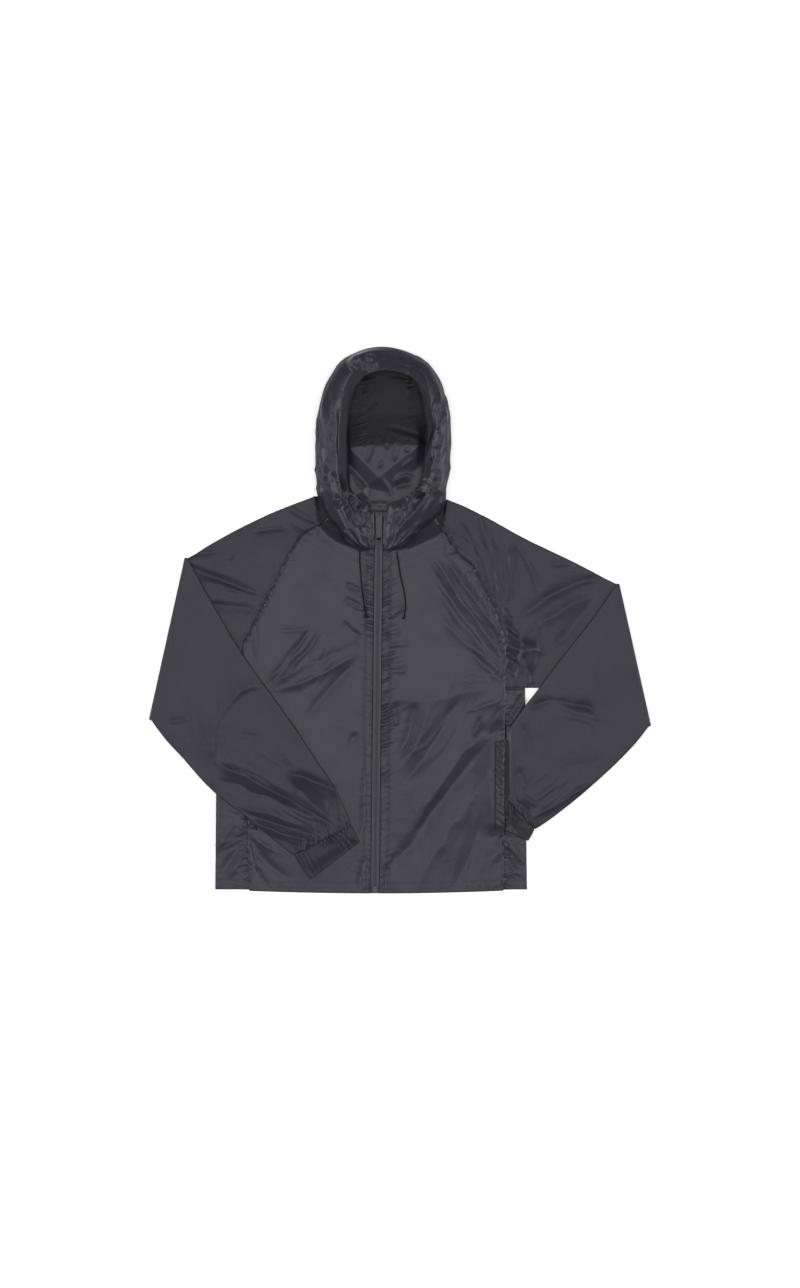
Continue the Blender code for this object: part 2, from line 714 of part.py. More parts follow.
def hood_section(row, index):
    """One section of a hood side: over the roll, round the outline and in along the floor."""
    edge, out = plan((row.edge_x, row.edge_y)), plan((row.out_x, row.out_y))
    out = out - (out - edge).normalized() * (CLOTH / 2)
    on_floor = index < HOOD_LIFT_ROW
    section = []
    for step in ROLL:
        place = edge.lerp(out, step.across)
        base = FLOOR_Z
        if index == HOOD_LIFT_ROW:
            base = HOOD_LIFT_Z
        elif not on_floor:
            base = body_height(place.x, place.y) + LAP
        z = row.edge_z if step.rise is None else mix(base, row.crest_z, step.rise)
        section.append(Vector((place.x, place.y, z)))
    start = section[-1]
    if index <= HOOD_LIFT_ROW:
        end = Vector((row.in_x, row.in_y, start.z))
        section += [start.lerp(end, step / FLOOR_COLUMNS) for step in range(1, FLOOR_COLUMNS + 1)]
    else:
        for step in range(1, FLOOR_COLUMNS + 1):
            place = edge.lerp(out, ROLL[-1].across - LAP_SHARE * step / FLOOR_COLUMNS)
            section.append(Vector((place.x, place.y, body_height(place.x, place.y) + LAP)))
    return section


def hood_side(side):
    rows = HOOD_RIGHT if side == "right" else HOOD_LEFT
    return [hood_section(row, index) for index, row in enumerate(rows)]


def hood_centre(right, left):
    """The strip between the hood's sides, from the forehead hem over the crown to the back neck."""
    edges = []
    for grid, inward in ((right, 2 * GAP), (left, -2 * GAP)):
        path = grid[0] + [grid[row][-1] for row in range(1, HOOD_FLOOR_ROWS + 1)]
        edges.append([point + Vector((inward, 0.0, 0.0)) for point in path])
    edge = Vector(HOOD_CENTRE_EDGE)
    top = Vector(HOOD_CENTRE_TOP)
    out_y = top.y - CLOTH / 2
    middle = []
    for step in ROLL:
        z = edge.z if step.rise is None else mix(FLOOR_Z, top.z, step.rise)
        middle.append(Vector((mix(edge.x, top.x, step.across), mix(edge.y, out_y, step.across), z)))
    bottom_y = mix(edges[0][-1].y, edges[1][-1].y, 0.5)
    floor_ys = along([Vector((0.0, middle[-1].y, 0.0)), Vector((0.0, bottom_y, 0.0))],
                     running_shares(edges[0][len(ROLL) - 1:]))
    middle += [Vector((top.x, point.y, FLOOR_Z)) for point in floor_ys[1:]]
    grid = []
    for start, centre, end in zip(edges[0], middle, edges[1]):
        bow = centre - mix(start, end, 0.5)
        line = []
        for column in range(CENTRE_COLUMNS + 1):
            share = column / CENTRE_COLUMNS
            line.append(mix(start, end, share) + bow * (4.0 * share * (1.0 - share)))
        grid.append(line)
    return grid


def build_hood(collection):
    right, left = hood_side("right"), hood_side("left")
    cloth("hood_right", right, collection, SHELL)
    cloth("hood_left", left, collection, SHELL)
    cloth("hood_centre", hood_centre(right, left), collection, SHELL)
    guard = []
    for share in (0.0, 0.5, 1.0):
        y = mix(GUARD_HIGH_Y, GUARD_LOW_Y, share)
        z = zip_height(min(y, ZIP_TOP_Y)) + GUARD_RISE
        line = []
        for column in range(GUARD_COLUMNS + 1):
            line.append(Vector((mix(GUARD_LEFT_X, GUARD_RIGHT_X, column / GUARD_COLUMNS), y, z)))
        guard.append(line)
    cloth("chin_guard", guard, collection, SHELL)


# ---------------------------------------------------------------- zip

def zip_rows():
    """Heights at which the zip is sampled, its bend among them."""
    low_y = hem_y(ZIP_MIDDLE_X)
    lower = [mix(low_y, ZIP_RAMP_Y, step / ZIP_STEPS) for step in range(ZIP_STEPS + 1)]
    return lower + [mix(ZIP_RAMP_Y, ZIP_TOP_Y, 0.5), ZIP_TOP_Y]


def strip_prism(name, low_offset, high_offset, width, rows, collection, finish):
    """A closed bar along the zip, between two heights above its tape."""
    shape = bmesh.new()
    rings = []
    for y in rows:
        x, z = zip_x(y), zip_height(y)
        corners = ((-width / 2, low_offset), (width / 2, low_offset),
                   (width / 2, high_offset), (-width / 2, high_offset))
        rings.append([shape.verts.new(Vector((x + dx, y, z + dz)) * MM) for dx, dz in corners])
    corner_count = len(corners)
    for before, after in zip(rings, rings[1:]):
        for index in range(corner_count):
            following = (index + 1) % corner_count
            shape.faces.new((before[index], before[following], after[following], after[index]))
    shape.faces.new(rings[0][::-1])
    shape.faces.new(rings[-1])
    bmesh.ops.recalc_face_normals(shape, faces=shape.faces)
    mesh = bpy.data.meshes.new(name)
    shape.to_mesh(mesh)
    shape.free()
    return new_object(name, mesh, collection, finish)


def box_mesh(name, low, high, bevel=0.0):
    """A box between two corners, with its edges rounded by bevel."""
    shape = bmesh.new()
    bmesh.ops.create_cube(shape, size=1.0)
    low, high = Vector(low), Vector(high)
    for vertex in shape.verts:
        for axis in range(3):
            vertex.co[axis] = mix(low[axis], high[axis], vertex.co[axis] + 0.5) * MM
    if bevel:
        bmesh.ops.bevel(shape, geom=list(shape.edges), offset=bevel * MM, segments=2,
                        profile=0.5, affect="EDGES", clamp_overlap=True)
    mesh = bpy.data.meshes.new(name)
    shape.to_mesh(mesh)
    shape.free()
    return mesh


def joined(item, other, operation, cutters):
    """A Boolean of two objects; the second moves to the cutters."""
    cut = item.modifiers.new(operation.lower(), "BOOLEAN")
    cut.operation = operation
    cut.object = other
    other.hide_render = True
    other.display_type = "WIRE"
    for owner in list(other.users_collection):
        owner.objects.unlink(other)
    cutters.objects.link(other)


def place_on_zip(item, tilt):
    """Put an object whose origin is the tab's hinge on the slider."""
    slope = math.atan(ZIP_RAMP)
    normal = Vector((0.0, -math.sin(slope), math.cos(slope)))
    base = Vector((zip_x(SLIDER_Y), SLIDER_Y, zip_height(SLIDER_Y)))
    item.location = (base + normal * HINGE_HEIGHT) * MM
    item.rotation_euler = (slope + tilt, 0.0, 0.0)


def build_slider(collection, cutters):
    half_width, half_length = SLIDER_WIDTH / 2, SLIDER_LENGTH / 2
    body = box_mesh("slider", (-half_width, -half_length, SLIDER_LOW - HINGE_HEIGHT),
                    (half_width, half_length, SLIDER_HIGH - HINGE_HEIGHT), SLIDER_BEVEL)
    slider = new_object("slider", body, collection, METAL)
    eye = BRIDGE_WINDOW / 2
    reach = eye + BRIDGE_POST
    form = box_mesh("bridge_form", (-BRIDGE_WIDTH / 2, -reach, -eye - BRIDGE_SINK),
                    (BRIDGE_WIDTH / 2, reach, eye + BRIDGE_ROOF), BRIDGE_BEVEL)
    bridge = new_object("bridge_form", form, collection, METAL)
    window_form = box_mesh("bridge_window", (-half_width, -eye, -eye), (half_width, eye, eye))
    opening = new_object("bridge_window", window_form, collection, METAL)
    joined(slider, bridge, "UNION", cutters)
    joined(slider, opening, "DIFFERENCE", cutters)
    for item in (slider, bridge, opening):
        place_on_zip(item, 0.0)


def build_tab(collection, cutters):
    """The pull tab: a strip with a slot that leaves a crossbar in the bridge's window."""
    half_bar, half_thick = TAB_CROSSBAR / 2, TAB_THICKNESS / 2
    strip = box_mesh("pull_tab", (-TAB_WIDTH / 2, -TAB_LENGTH, -half_thick),
                     (TAB_WIDTH / 2, half_bar, half_thick), TAB_BEVEL)
    tab = new_object("pull_tab", strip, collection, METAL)
    slot_form = box_mesh("tab_slot", (-TAB_SLOT_WIDTH / 2, -TAB_SLOT_END, -TAB_THICKNESS),
                         (TAB_SLOT_WIDTH / 2, -half_bar, TAB_THICKNESS))
    slot = new_object("tab_slot", slot_form, collection, METAL)
    joined(tab, slot, "DIFFERENCE", cutters)
    for item in (tab, slot):
        place_on_zip(item, TAB_TILT)


def build_zip(collection, cutters):
    rows = zip_rows()
    for side, turn in (("right", -1.0), ("left", 1.0)):
        grid = []
        for y in rows:
            offsets = (turn * TAPE_INNER, turn * TAPE_OUTER)
            grid.append([Vector((zip_x(y) + offset, y, zip_height(y))) for offset in offsets])
        cloth("zip_tape_" + side, grid, collection, TAPE)
    coil_low_y = hem_y(ZIP_MIDDLE_X) + ZIP_STOP_FROM_HEM + ZIP_STOP_LENGTH + GAP
    coil_rows = [coil_low_y] + [y for y in rows if y > coil_low_y + COIL_WIDTH]
    strip_prism("zip_coil", COIL_TOP - COIL_HEIGHT, COIL_TOP, COIL_WIDTH, coil_rows, collection, TAPE)
    stop_y = hem_y(ZIP_MIDDLE_X) + ZIP_STOP_FROM_HEM
    stop_rows = (stop_y, stop_y + ZIP_STOP_LENGTH)
    stop_low = CLOTH / 2 + GAP
    strip_prism("zip_stop", stop_low, stop_low + ZIP_STOP_HEIGHT, ZIP_STOP_WIDTH, stop_rows,
                collection, METAL)
    build_slider(collection, cutters)
    build_tab(collection, cutters)


# ---------------------------------------------------------------- drawcords

def smooth_route(rows, step):
    """Points about step apart on a smooth curve through a route's own points."""
    points = [plan(row) for row in rows]
    points = [points[0] * 2 - points[1]] + points + [points[-1] * 2 - points[-2]]
    route = []
    for before, start, end, after in zip(points, points[1:], points[2:], points[3:]):
        pieces = max(int(round((end - start).length / step)), 1)
        for piece in range(pieces):
            t = piece / pieces
            route.append(0.5 * (2 * start + (end - before) * t
                                + (2 * before - 5 * start + 4 * end - after) * t ** 2
                                + (3 * start - before - 3 * end + after) * t ** 3))
    route.append(points[-2])
    return route


def cord_z(x, y):
    return body_height(x, y) + CLOTH / 2 + 2 * GAP + CORD_RADIUS


def build_cord(side, rows, collection):
    route = smooth_route(rows, CORD_STEP)
    curve = bpy.data.curves.new("drawcord_" + side, "CURVE")
    curve.dimensions = "3D"
    curve.bevel_depth = CORD_RADIUS * MM
    curve.bevel_resolution = 2
    curve.use_fill_caps = True
    spline = curve.splines.new("POLY")
    spline.points.add(len(route) - 1)
    for spot, place in zip(spline.points, route):
        spot.co = (place.x * MM, place.y * MM, cord_z(place.x, place.y) * MM, 1.0)
    new_object("drawcord_" + side, curve, collection, TAPE)
    run = (route[-1] - route[-2]).normalized()
    centre = route[-1] + run * (KNOT_RADIUS + GAP)
    shape = bmesh.new()
    bmesh.ops.create_uvsphere(shape, u_segments=KNOT_SEGMENTS, v_segments=KNOT_RINGS,
                              radius=KNOT_RADIUS * MM)
    mesh = bpy.data.meshes.new("cord_knot_" + side)
    shape.to_mesh(mesh)
    shape.free()
    mesh.shade_smooth()
    knot = new_object("cord_knot_" + side, mesh, collection, TAPE)
    height = body_height(centre.x, centre.y) + CLOTH / 2 + 2 * GAP + KNOT_RADIUS
    knot.location = (centre.x * MM, centre.y * MM, height * MM)


def main():
    for item in list(bpy.data.objects):
        bpy.data.objects.remove(item)
    garment = bpy.data.collections.new("windbreaker")
    cutters = bpy.data.collections.new("cutters")
    bpy.context.scene.collection.children.link(garment)
    bpy.context.scene.collection.children.link(cutters)
    build_body(garment)
    build_sleeves(garment)
    build_hood(garment)
    build_zip(garment, cutters)
    build_cord("right", CORD_RIGHT, garment)
    build_cord("left", CORD_LEFT, garment)


main()
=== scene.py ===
"""Looks of the windbreaker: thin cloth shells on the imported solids, zip, cords, stitches, light.

Lengths in the tables are millimetres in the frame's axes: +X is the wearer's left, +Y runs from
hem to hood, and +Z points up from the surface that the jacket lies on.
"""
import math
from collections import namedtuple

import bpy
import numpy as np
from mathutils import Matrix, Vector


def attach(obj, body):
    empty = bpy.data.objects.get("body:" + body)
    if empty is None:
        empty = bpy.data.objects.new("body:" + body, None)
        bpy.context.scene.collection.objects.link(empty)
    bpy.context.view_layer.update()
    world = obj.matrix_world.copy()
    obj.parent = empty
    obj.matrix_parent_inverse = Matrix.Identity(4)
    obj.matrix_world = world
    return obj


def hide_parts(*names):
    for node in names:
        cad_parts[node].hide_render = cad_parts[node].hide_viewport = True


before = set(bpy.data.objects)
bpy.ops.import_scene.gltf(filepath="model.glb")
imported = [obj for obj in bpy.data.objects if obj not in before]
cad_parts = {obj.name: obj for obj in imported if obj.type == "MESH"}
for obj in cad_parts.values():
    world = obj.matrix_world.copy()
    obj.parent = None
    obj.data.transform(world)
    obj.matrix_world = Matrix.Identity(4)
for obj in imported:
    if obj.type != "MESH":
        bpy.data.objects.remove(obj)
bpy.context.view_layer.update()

MM = 0.001
JACKET, TAB = "jacket", "pull_tab"   # the two bodies
OUTWARD = {"right": -1.0, "left": 1.0}      # direction in x from the zip to each side
PLAN = np.array([1.0, 1.0, 0.0])     # drops the height of a direction

# Heights of the laid layers
FLOOR_Z = 0.6
BODY_Z = 3.6
LOWEST_Z = 0.2               # of any cloth above the floor
BODY_LOW_Z = 1.4             # lowest that a trough of the upper layer reaches
FOREARM_LOW_Z = 6.6
FOREARM_TOP_Z = 10.5
LAP = 0.9                    # hood edge above the neckline that it covers
PITCH = 1.5                  # between two cloth layers that lie on each other

HEM_MIDDLE_Y = -486.0
HEM_SIDE_Y = -479.0
NECK_EDGE_Y = 134.0
ZIP_TOP_Y = 196.0
ZIP_MIDDLE_X = -38.0
ZIP_SLANT = 0.0108
ZIP_RAMP_Y = 130.0
ZIP_RAMP = 8.0 / 68.0
FRONT_FROM_ZIP = 7.3         # the fronts' edges from the zip's middle
HEM_HALF = {"right": 285.0, "left": 264.0}  # width of the hem on each side of the zip


def table(columns, *rows):
    """Rows with named columns."""
    row_type = namedtuple("Row", columns)
    return [row_type(*row) for row in rows]


# Edge of each sleeve: neckline, raglan seam and underarm.
SEAM = {
    "right": ((-141, 224), (-131, 207), (-122, 186), (-143, 171), (-172, 155), (-194, 124),
              (-227, 57), (-270, -27), (-281, -49), (-279, -85), (-278, -119), (-326, -117)),
    "left": ((77, 217), (69, 204), (58, 186), (81, 153), (94, 135), (107, 117),
             (128, 98), (145, 68), (162, 37), (186, -31), (187, -121), (222, -121))}
NECK_VERTEX = 2              # where the neckline ends and the raglan seam starts
UNDERARM_VERTEX = 10         # where the side seam starts
SIDE_SEAM_HEM_X = {"right": -269.0, "left": 185.0}
SIDE_EDGE = {"right": ((-326, -123), (-329, HEM_SIDE_Y)), "left": ((222, -121), (226, HEM_SIDE_Y))}
NECKLINE = {
    "right": ((-122, 186), (-100, 167), (-80, 149), (-64, 139), (-45, NECK_EDGE_Y)),
    "left": ((58, 186), (34, 176), (12, 158), (-5, 141), (-31, NECK_EDGE_Y))}

# Upper sleeves: share of the way to the elbow, top edge, lower edge.
UPPER = {
    "right": table(
        "share top_x top_y low_x low_y",
        (0.12, -171, 213, -340, -124),
        (0.25, -201, 202, -356, -132),
        (0.50, -256, 178, -387, -147),
        (0.75, -320, 145, -417, -163),
        (1.00, -383, 112, -447, -178)),
    "left": table(
        "share top_x top_y low_x low_y",
        (0.12, 108, 205, 236, -121),
        (0.25, 149, 185, 256, -122),
        (0.50, 228, 142, 308, -140),
        (0.75, 312, 102, 378, -165),
        (1.00, 390, 66, 447, -189))}
# Forearms, folded back over the elbow: upper (inner) edge, lower (outer) edge.
FOREARM = {
    "right": table(
        "top_x top_y low_x low_y",
        (-383, 112, -447, -178),
        (-334, 30, -418, -211),
        (-285, -53, -388, -244),
        (-196, -178, -328, -308),
        (-146, -253, -267, -356),
        (-119, -294, -228, -388),
        (-101, -329, -205, -406),
        (-86, -366, -188, -418)),
    "left": table(
        "top_x top_y low_x low_y",
        (390, 66, 447, -189),
        (344, 5, 417, -221),
        (297, -55, 379, -260),
        (251, -116, 338, -297),
        (189, -205, 272, -351),
        (174, -240, 255, -363),
        (172, -272, 244, -370),
        (173, -301, 239, -372))}
CUFF = {
    "right": table(
        "top_x top_y low_x low_y",
        (-86, -366, -188, -418),
        (-78, -381, -174, -440),
        (-72, -394, -160, -461)),
    "left": table(
        "top_x top_y low_x low_y",
        (173, -301, 239, -372),
        (173, -321, 234, -383),
        (173, -340, 228, -393))}

# Hood sides, from the crown to the zip: edge of the face opening, outline, crest, inner end.
HOOD_COLUMNS = "edge_x edge_y edge_z out_x out_y crest_z in_x in_y"
HOOD = {
    "right": table(
        HOOD_COLUMNS,
        (-64, 432, 45, -77, 476, 48, -62, 461),
        (-75, 418, 42, -103, 460, 48, -62, 441),
        (-84, 400, 37, -125, 431, 48, -62, 418),
        (-88, 383, 33, -138, 402, 48, -62, 395),
        (-91, 365, 31, -145, 374, 47, -62, 374),
        (-93, 344, 30, -149, 344, 46, -62, 351),
        (-94, 320, 29, -150, 313, 45, -62, 329),
        (-93, 299, 28, -151, 287, 44, -62, 312),
        (-93, 285, 27, -150, 267, 43, -85, 308),
        (-93, 271, 26, -150, 253, 42, -107, 290),
        (-94, 260, 25, -148, 239, 40, -125, 265),
        (-93, 247, 24, -146, 222, 38, -139, 236),
        (-89, 235, 23, -138, 207, 35, 0, 0),
        (-80, 222, 21, -125, 180, 31, 0, 0),
        (-69, 211, 17, -108, 162, 26, 0, 0),
        (-54, 206, 14, -91, 139, 21, 0, 0),
        (-53, 192, 13, -77, 131, 17, 0, 0),
        (-45, 184, 11, -62, 126, 13, 0, 0),
        (-45, 132, 7, -52, 125, 8, 0, 0)),
    "left": table(
        HOOD_COLUMNS,
        (16, 433, 45, 27, 471, 48, 16, 457),
        (28, 422, 42, 50, 457, 48, 16, 438),
        (36, 404, 37, 68, 429, 48, 16, 417),
        (41, 384, 33, 79, 403, 47, 16, 395),
        (44, 365, 31, 85, 379, 46, 16, 374),
        (48, 344, 30, 88, 351, 45, 16, 351),
        (49, 324, 29, 90, 320, 44, 16, 331),
        (45, 303, 28, 90, 294, 43, 16, 315),
        (43, 287, 28, 89, 274, 42, 34, 310),
        (41, 271, 27, 87, 258, 41, 52, 294),
        (40, 255, 26, 85, 242, 39, 68, 267),
        (35, 243, 25, 82, 225, 37, 75, 240),
        (27, 231, 26, 80, 207, 34, 0, 0),
        (15, 222, 22, 62, 182, 30, 0, 0),
        (0, 213, 17, 37, 164, 25, 0, 0),
        (-20, 205, 14, 17, 144, 20, 0, 0),
        (-22, 192, 13, 2, 130, 16, 0, 0),
        (-30, 184, 11, -13, 125, 12, 0, 0),
        (-30, 132, 7, -23, 123, 8, 0, 0))}
HOOD_FLOOR_ROWS = 7          # rows whose inner end lies on the centre strip's seam
HOOD_BACK_ROWS = 10          # rows whose inner end lies on the back neck seam
HOOD_LIFT_ROW = 11           # from here on the hood lies over the sleeve and the front
HOOD_LIFT_Z = 2.8
HOOD_CENTRE_EDGE = (-26, 442, 46)
HOOD_CENTRE_TOP = (-27, 485, 48)
# Section of the hood's roll: share of the way from edge to outline, share of its height.
ROLL = ((0.00, None), (0.19, 0.81), (0.38, 0.975), (0.62, 1.00), (0.87, 0.82),
        (0.985, 0.52), (1.00, 0.30), (0.96, 0.10), (0.88, 0.00))
FLOOR_STEPS = 3
LAP_SHARE = 0.26

# Soft swells of the upper body layer.
SWELLS = table(
    "x y reach_x reach_y height",
    (-120, 40, 75, 75, 2.2),
    (60, 10, 90, 110, 2.4),
    (70, -300, 80, 120, 1.6),
    (250, 90, 90, 60, 1.8),
    (-255, 120, 70, 45, 1.4))

# Left pocket mouth, where the tucked forearm passes from above the side panel to under the front.
MOUTH_FRONT_X = (125.0, 171.0)
MOUTH_FRONT_Y = (-390.0, -358.0, -203.0, -174.0)
MOUTH_LIFT = 4.4
MOUTH_SIDE_X = (189.0, 214.0)
MOUTH_SIDE_Y = (-388.0, -360.0, -182.0, -142.0)
MOUTH_SINK = 1.5
TUCK_X = (183.0, 214.0)
TUCK_LOW = 2.7
TUCK_TOP = 4.9
TUCK_STEP_X = (188.5, 200.5)
TUCK_STEP_Y = (-375.0, -345.0)

# Creases: two ends, sideways bow, half width left and right of the run, height (a trough is negative).
CREASE = "x0 y0 x1 y1 bow left right height"
BODY_CREASES = table(
    CREASE,
    (-239, -110, -162, -18, 4, 5, 5, 2.2),
    (-226, -116, -141, -18, 4, 5, 7, 2.4),
    (-221, -112, -71, -48, -7, 12, 21, 2),
    (-217, -126, -77, -61, 7, 9, 7, 2.2),
    (-164, -173, -80, -75, -4, 7, 11, -2.2),
    (-91, -226, -77, -201, 0, 5, 5, -1.4),
    (-212, -20, -155, -16, 2, 5, 5, -1),
    (-256, 0, -253, -71, 2, 5, 4, 1.4),
    (-96, 66, -68, 53, 0, 3, 11, -1.5),
    (-98, 39, -68, 25, 0, 3, 11, -1.5),
    (-101, -4, -66, -30, 2, 4, 14, -1.6),
    (64, 110, 185, -71, 4, 9, 7, -2.8),
    (85, 107, 190, -34, 4, 7, 5, 2.2),
    (53, 96, 167, -68, 4, 7, 7, 1.6),
    (69, 50, 182, -87, 4, 7, 7, -2),
    (68, 7, 183, -96, 2, 11, 7, 1.6),
    (128, -57, 189, -117, 0, 7, 7, -1.6),
    (-11, -139, 157, -128, 7, 28, 15, 2.2),
    (-9, -146, -5, -190, 0, 5, 5, -2.2),
    (27, -142, -2, -244, -5, 11, 9, -3),
    (101, -146, 7, -288, -7, 14, 11, -3),
    (53, -142, 4, -267, -7, 9, 9, 1.6),
    (167, -206, -16, -447, 5, 16, 12, -4.2),
    (150, -192, 14, -388, 5, 12, 16, 2.4),
    (178, -249, 36, -466, 4, 14, 16, 2),
    (162, -324, 101, -475, 0, 12, 11, -2.6),
    (130, -208, 146, -173, 0, 5, 5, -1.8),
    (155, -205, 183, -153, 0, 7, 7, -1.8),
    (121, -160, 178, -142, 2, 5, 7, 1.4),
    (-25, 5, 13, 22, 0, 10, 3, -1.4),
    (-25, -46, 18, -44, 0, 10, 3, -1.3),
    (-27, -28, 4, -20, 0, 8, 3, -1.1),
    (-25, -93, 14, -91, 0, 9, 3, -1.1),
    (-201, 203, -146, 174, 2, 4, 4, -1.6),
    (-258, 155, -201, 162, -2, 4, 4, -1.5),
    (-194, 174, -162, 155, 0, 5, 4, -1.3),
    (-384, 101, -251, 46, 4, 5, 11, -3),
    (-347, 71, -251, 39, 0, 7, 5, 1.6),
    (-340, 28, -255, 18, -2, 5, 11, -2.4),
    (-388, 112, -326, 121, 0, 5, 5, -1.2),
    (-304, 107, -299, 119, 0, 4, 4, -0.9),
    (82, 178, 103, 107, -4, 7, 5, -1.4),
    (107, 171, 142, 96, -4, 5, 7, 1.6),
    (125, 155, 164, 41, -4, 7, 5, -1.8),
    (144, 183, 173, 30, -2, 5, 5, -2.4),
    (160, 160, 183, 14, 0, 5, 5, 2),
    (190, 137, 187, 4, 2, 5, 7, -2),
    (201, 134, 199, 36, 2, 5, 5, 1.8),
    (208, 135, 247, 43, -4, 7, 5, -1.6),
    (219, 7, 360, 75, -12, 9, 7, -2.8),
    (231, -25, 338, 41, -7, 9, 11, 2),
    (184, 20, 200, -6, 0, 4, 4, -2.0),
    (186, -6, 212, -30, 2, 4, 4, 2.2),
    (190, -18, 214, -40, 2, 4, 4, -2.4),
    (190, -40, 216, -56, 2, 4, 4, 2.2),
    (190, -52, 210, -72, 2, 4, 4, -2.4),
    (190, -66, 214, -88, 0, 4, 4, 2.0),
    (190, -84, 206, -100, 0, 4, 4, -2.0),
    (150, 66, 184, -50, 2, 4, 4, 1.8),
    (269, 96, 306, 103, 0, 5, 4, -1.2),
    (218, -133, 189, -180, 0, 4, 4, -2.4),
    (224, -140, 192, -190, 0, 4, 4, 1.8),
    (214, -50, 246, -56, 0, 16, 54, 5.5),
    (217, -57, 239, -116, 0, 7, 7, -2.4),
    (272, -50, 342, 39, 5, 9, 9, -2.2),
    (214, -36, 258, -62, 0, 7, 7, 1.8),
    (-322, -452, -271, -363, 4, 7, 7, -2),
    (-306, -456, -267, -402, 2, 5, 5, 1.6),
    (-326, -409, -288, -352, 0, 7, 5, 1.4),
    (-262, -411, -198, -459, 2, 7, 7, -1.6),
    (-263, -441, -231, -477, 0, 5, 5, -1.2),
    (-260, -388, -221, -413, 0, 5, 5, 1.2),
    (190, -393, 219, -434, 0, 5, 5, 1.6),
    (187, -409, 214, -473, 0, 5, 5, -1.6),
    (183, -377, 230, -395, 0, 4, 5, -1.6),
    (-64, -268, -69, -400, 0, 5, 4, -1.5),
    (-61, -420, -71, -486, 2, 4, 5, -1.8),
    (-56, -415, -57, -488, 0, 4, 4, 1.0),
    (-25, -436, -27, -488, 0, 4, 4, -1.5),
    (-6, -415, -22, -456, 2, 4, 6, -1.5))
FOREARM_CREASES = {"right": table(
    CREASE,
    (-328, -253, -319, -171, -7, 21, 5, 1.8),
    (-319, -171, -246, -114, -11, 18, 5, 1.8),
    (-328, -255, -192, -326, -4, 9, 11, 3),
    (-231, -303, -121, -367, -2, 7, 9, 2.6),
    (-201, -274, -112, -304, -4, 7, 14, 3.4),
    (-196, -288, -119, -360, 2, 12, 12, -3),
    (-319, -287, -189, -338, -4, 7, 7, -2),
    (-272, -345, -135, -388, 0, 5, 7, -2),
    (-288, -331, -178, -367, -2, 7, 5, 1.6),
    (-263, -360, -150, -397, 2, 5, 5, 1.6),
    (-246, -377, -157, -409, 2, 5, 5, -1.4),
    (-413, -180, -381, -178, 0, 5, 4, -1),
    (-434, 36, -427, -142, 14, 25, 25, -0.8),
    (-221, -214, -125, -320, 5, 14, 14, 1.2),
    (-285, -205, -246, -210, 0, 5, 5, -0.8),
    (-119, -299, -105, -377, 2, 5, 5, -1.8),
    (-132, -320, -125, -383, 0, 5, 5, 1.4))}
FOREARM_CREASES["left"] = table(
    CREASE,
    (231, -157, 276, -142, -4, 7, 7, -2),
    (276, -142, 354, -167, -4, 7, 7, -2.2),
    (285, -157, 365, -178, 0, 12, 9, 1.2),
    (212, -185, 231, -249, -5, 9, 9, -1.4),
    (196, -217, 198, -324, 0, 4, 5, 2.4),
    (231, -354, 338, -287, 4, 7, 5, 1.8),
    (208, -322, 231, -349, 0, 5, 5, -1.8),
    (199, -331, 217, -356, 0, 5, 5, 1.6),
    (217, -312, 249, -331, 0, 5, 7, 1.4),
    (285, -267, 356, -249, 0, 11, 11, -0.8),
    (206, -267, 231, -303, 0, 9, 11, -1.6))
HOOD_CREASES = table(
    CREASE,
    (-134, 399, -132, 320, 2, 4, 4, 2.6),
    (-116, 399, -112, 267, 0, 4, 5, 3),
    (-125, 409, -123, 320, 0, 4, 4, -2),
    (-142, 374, -139, 267, 0, 5, 4, -1.2),
    (-142, 313, -109, 199, 4, 5, 4, 2.2),
    (-137, 279, -119, 201, 2, 4, 4, 2),
    (-130, 285, -112, 214, 2, 4, 4, -2),
    (-112, 267, -96, 205, 2, 4, 4, 2),
    (-125, 299, -100, 203, 4, 4, 4, -1.8),
    (-105, 434, -105, 271, 0, 9, 9, -1.6),
    (-96, 260, -69, 132, 5, 4, 4, 2.2),
    (-105, 231, -75, 128, 4, 4, 4, -2.2),
    (-112, 205, -84, 137, 2, 4, 4, 2),
    (-89, 237, -64, 142, 4, 4, 4, -2),
    (84, 370, 61, 333, 0, 4, 4, 2.6),
    (61, 333, 46, 281, 0, 4, 4, 2.4),
    (59, 352, 44, 290, 0, 5, 4, -3),
    (64, 333, 78, 315, 0, 4, 4, 1.8),
    (71, 306, 53, 256, 0, 4, 5, 2.4),
    (82, 303, 64, 246, 0, 5, 5, -1.6),
    (69, 404, 71, 377, 0, 3, 3, 2),
    (61, 388, 55, 356, 0, 4, 4, 1.6),
    (80, 400, 84, 374, 0, 4, 3, 1.8),
    (48, 235, 84, 221, 0, 7, 7, 2),
    (64, 249, 57, 228, 0, 5, 5, -1.8),
    (-4, 134, 77, 203, 4, 4, 4, 2.2),
    (-7, 142, 64, 214, 2, 4, 4, -2),
    (-11, 151, 50, 219, 2, 4, 4, 2),
    (-14, 160, 36, 221, 2, 4, 4, -1.8),
    (4, 130, 82, 192, 5, 4, 4, -1.6),
    (-18, 164, 7, 214, 0, 3, 3, 1.8),
    (-21, 134, -16, 187, 0, 3, 3, 1.4),
    (-68, 182, -46, 171, 0, 3, 3, 1.4),
    (-69, 166, -46, 157, 0, 3, 3, -1.4),
    (-69, 151, -46, 142, 0, 3, 3, 1.4))
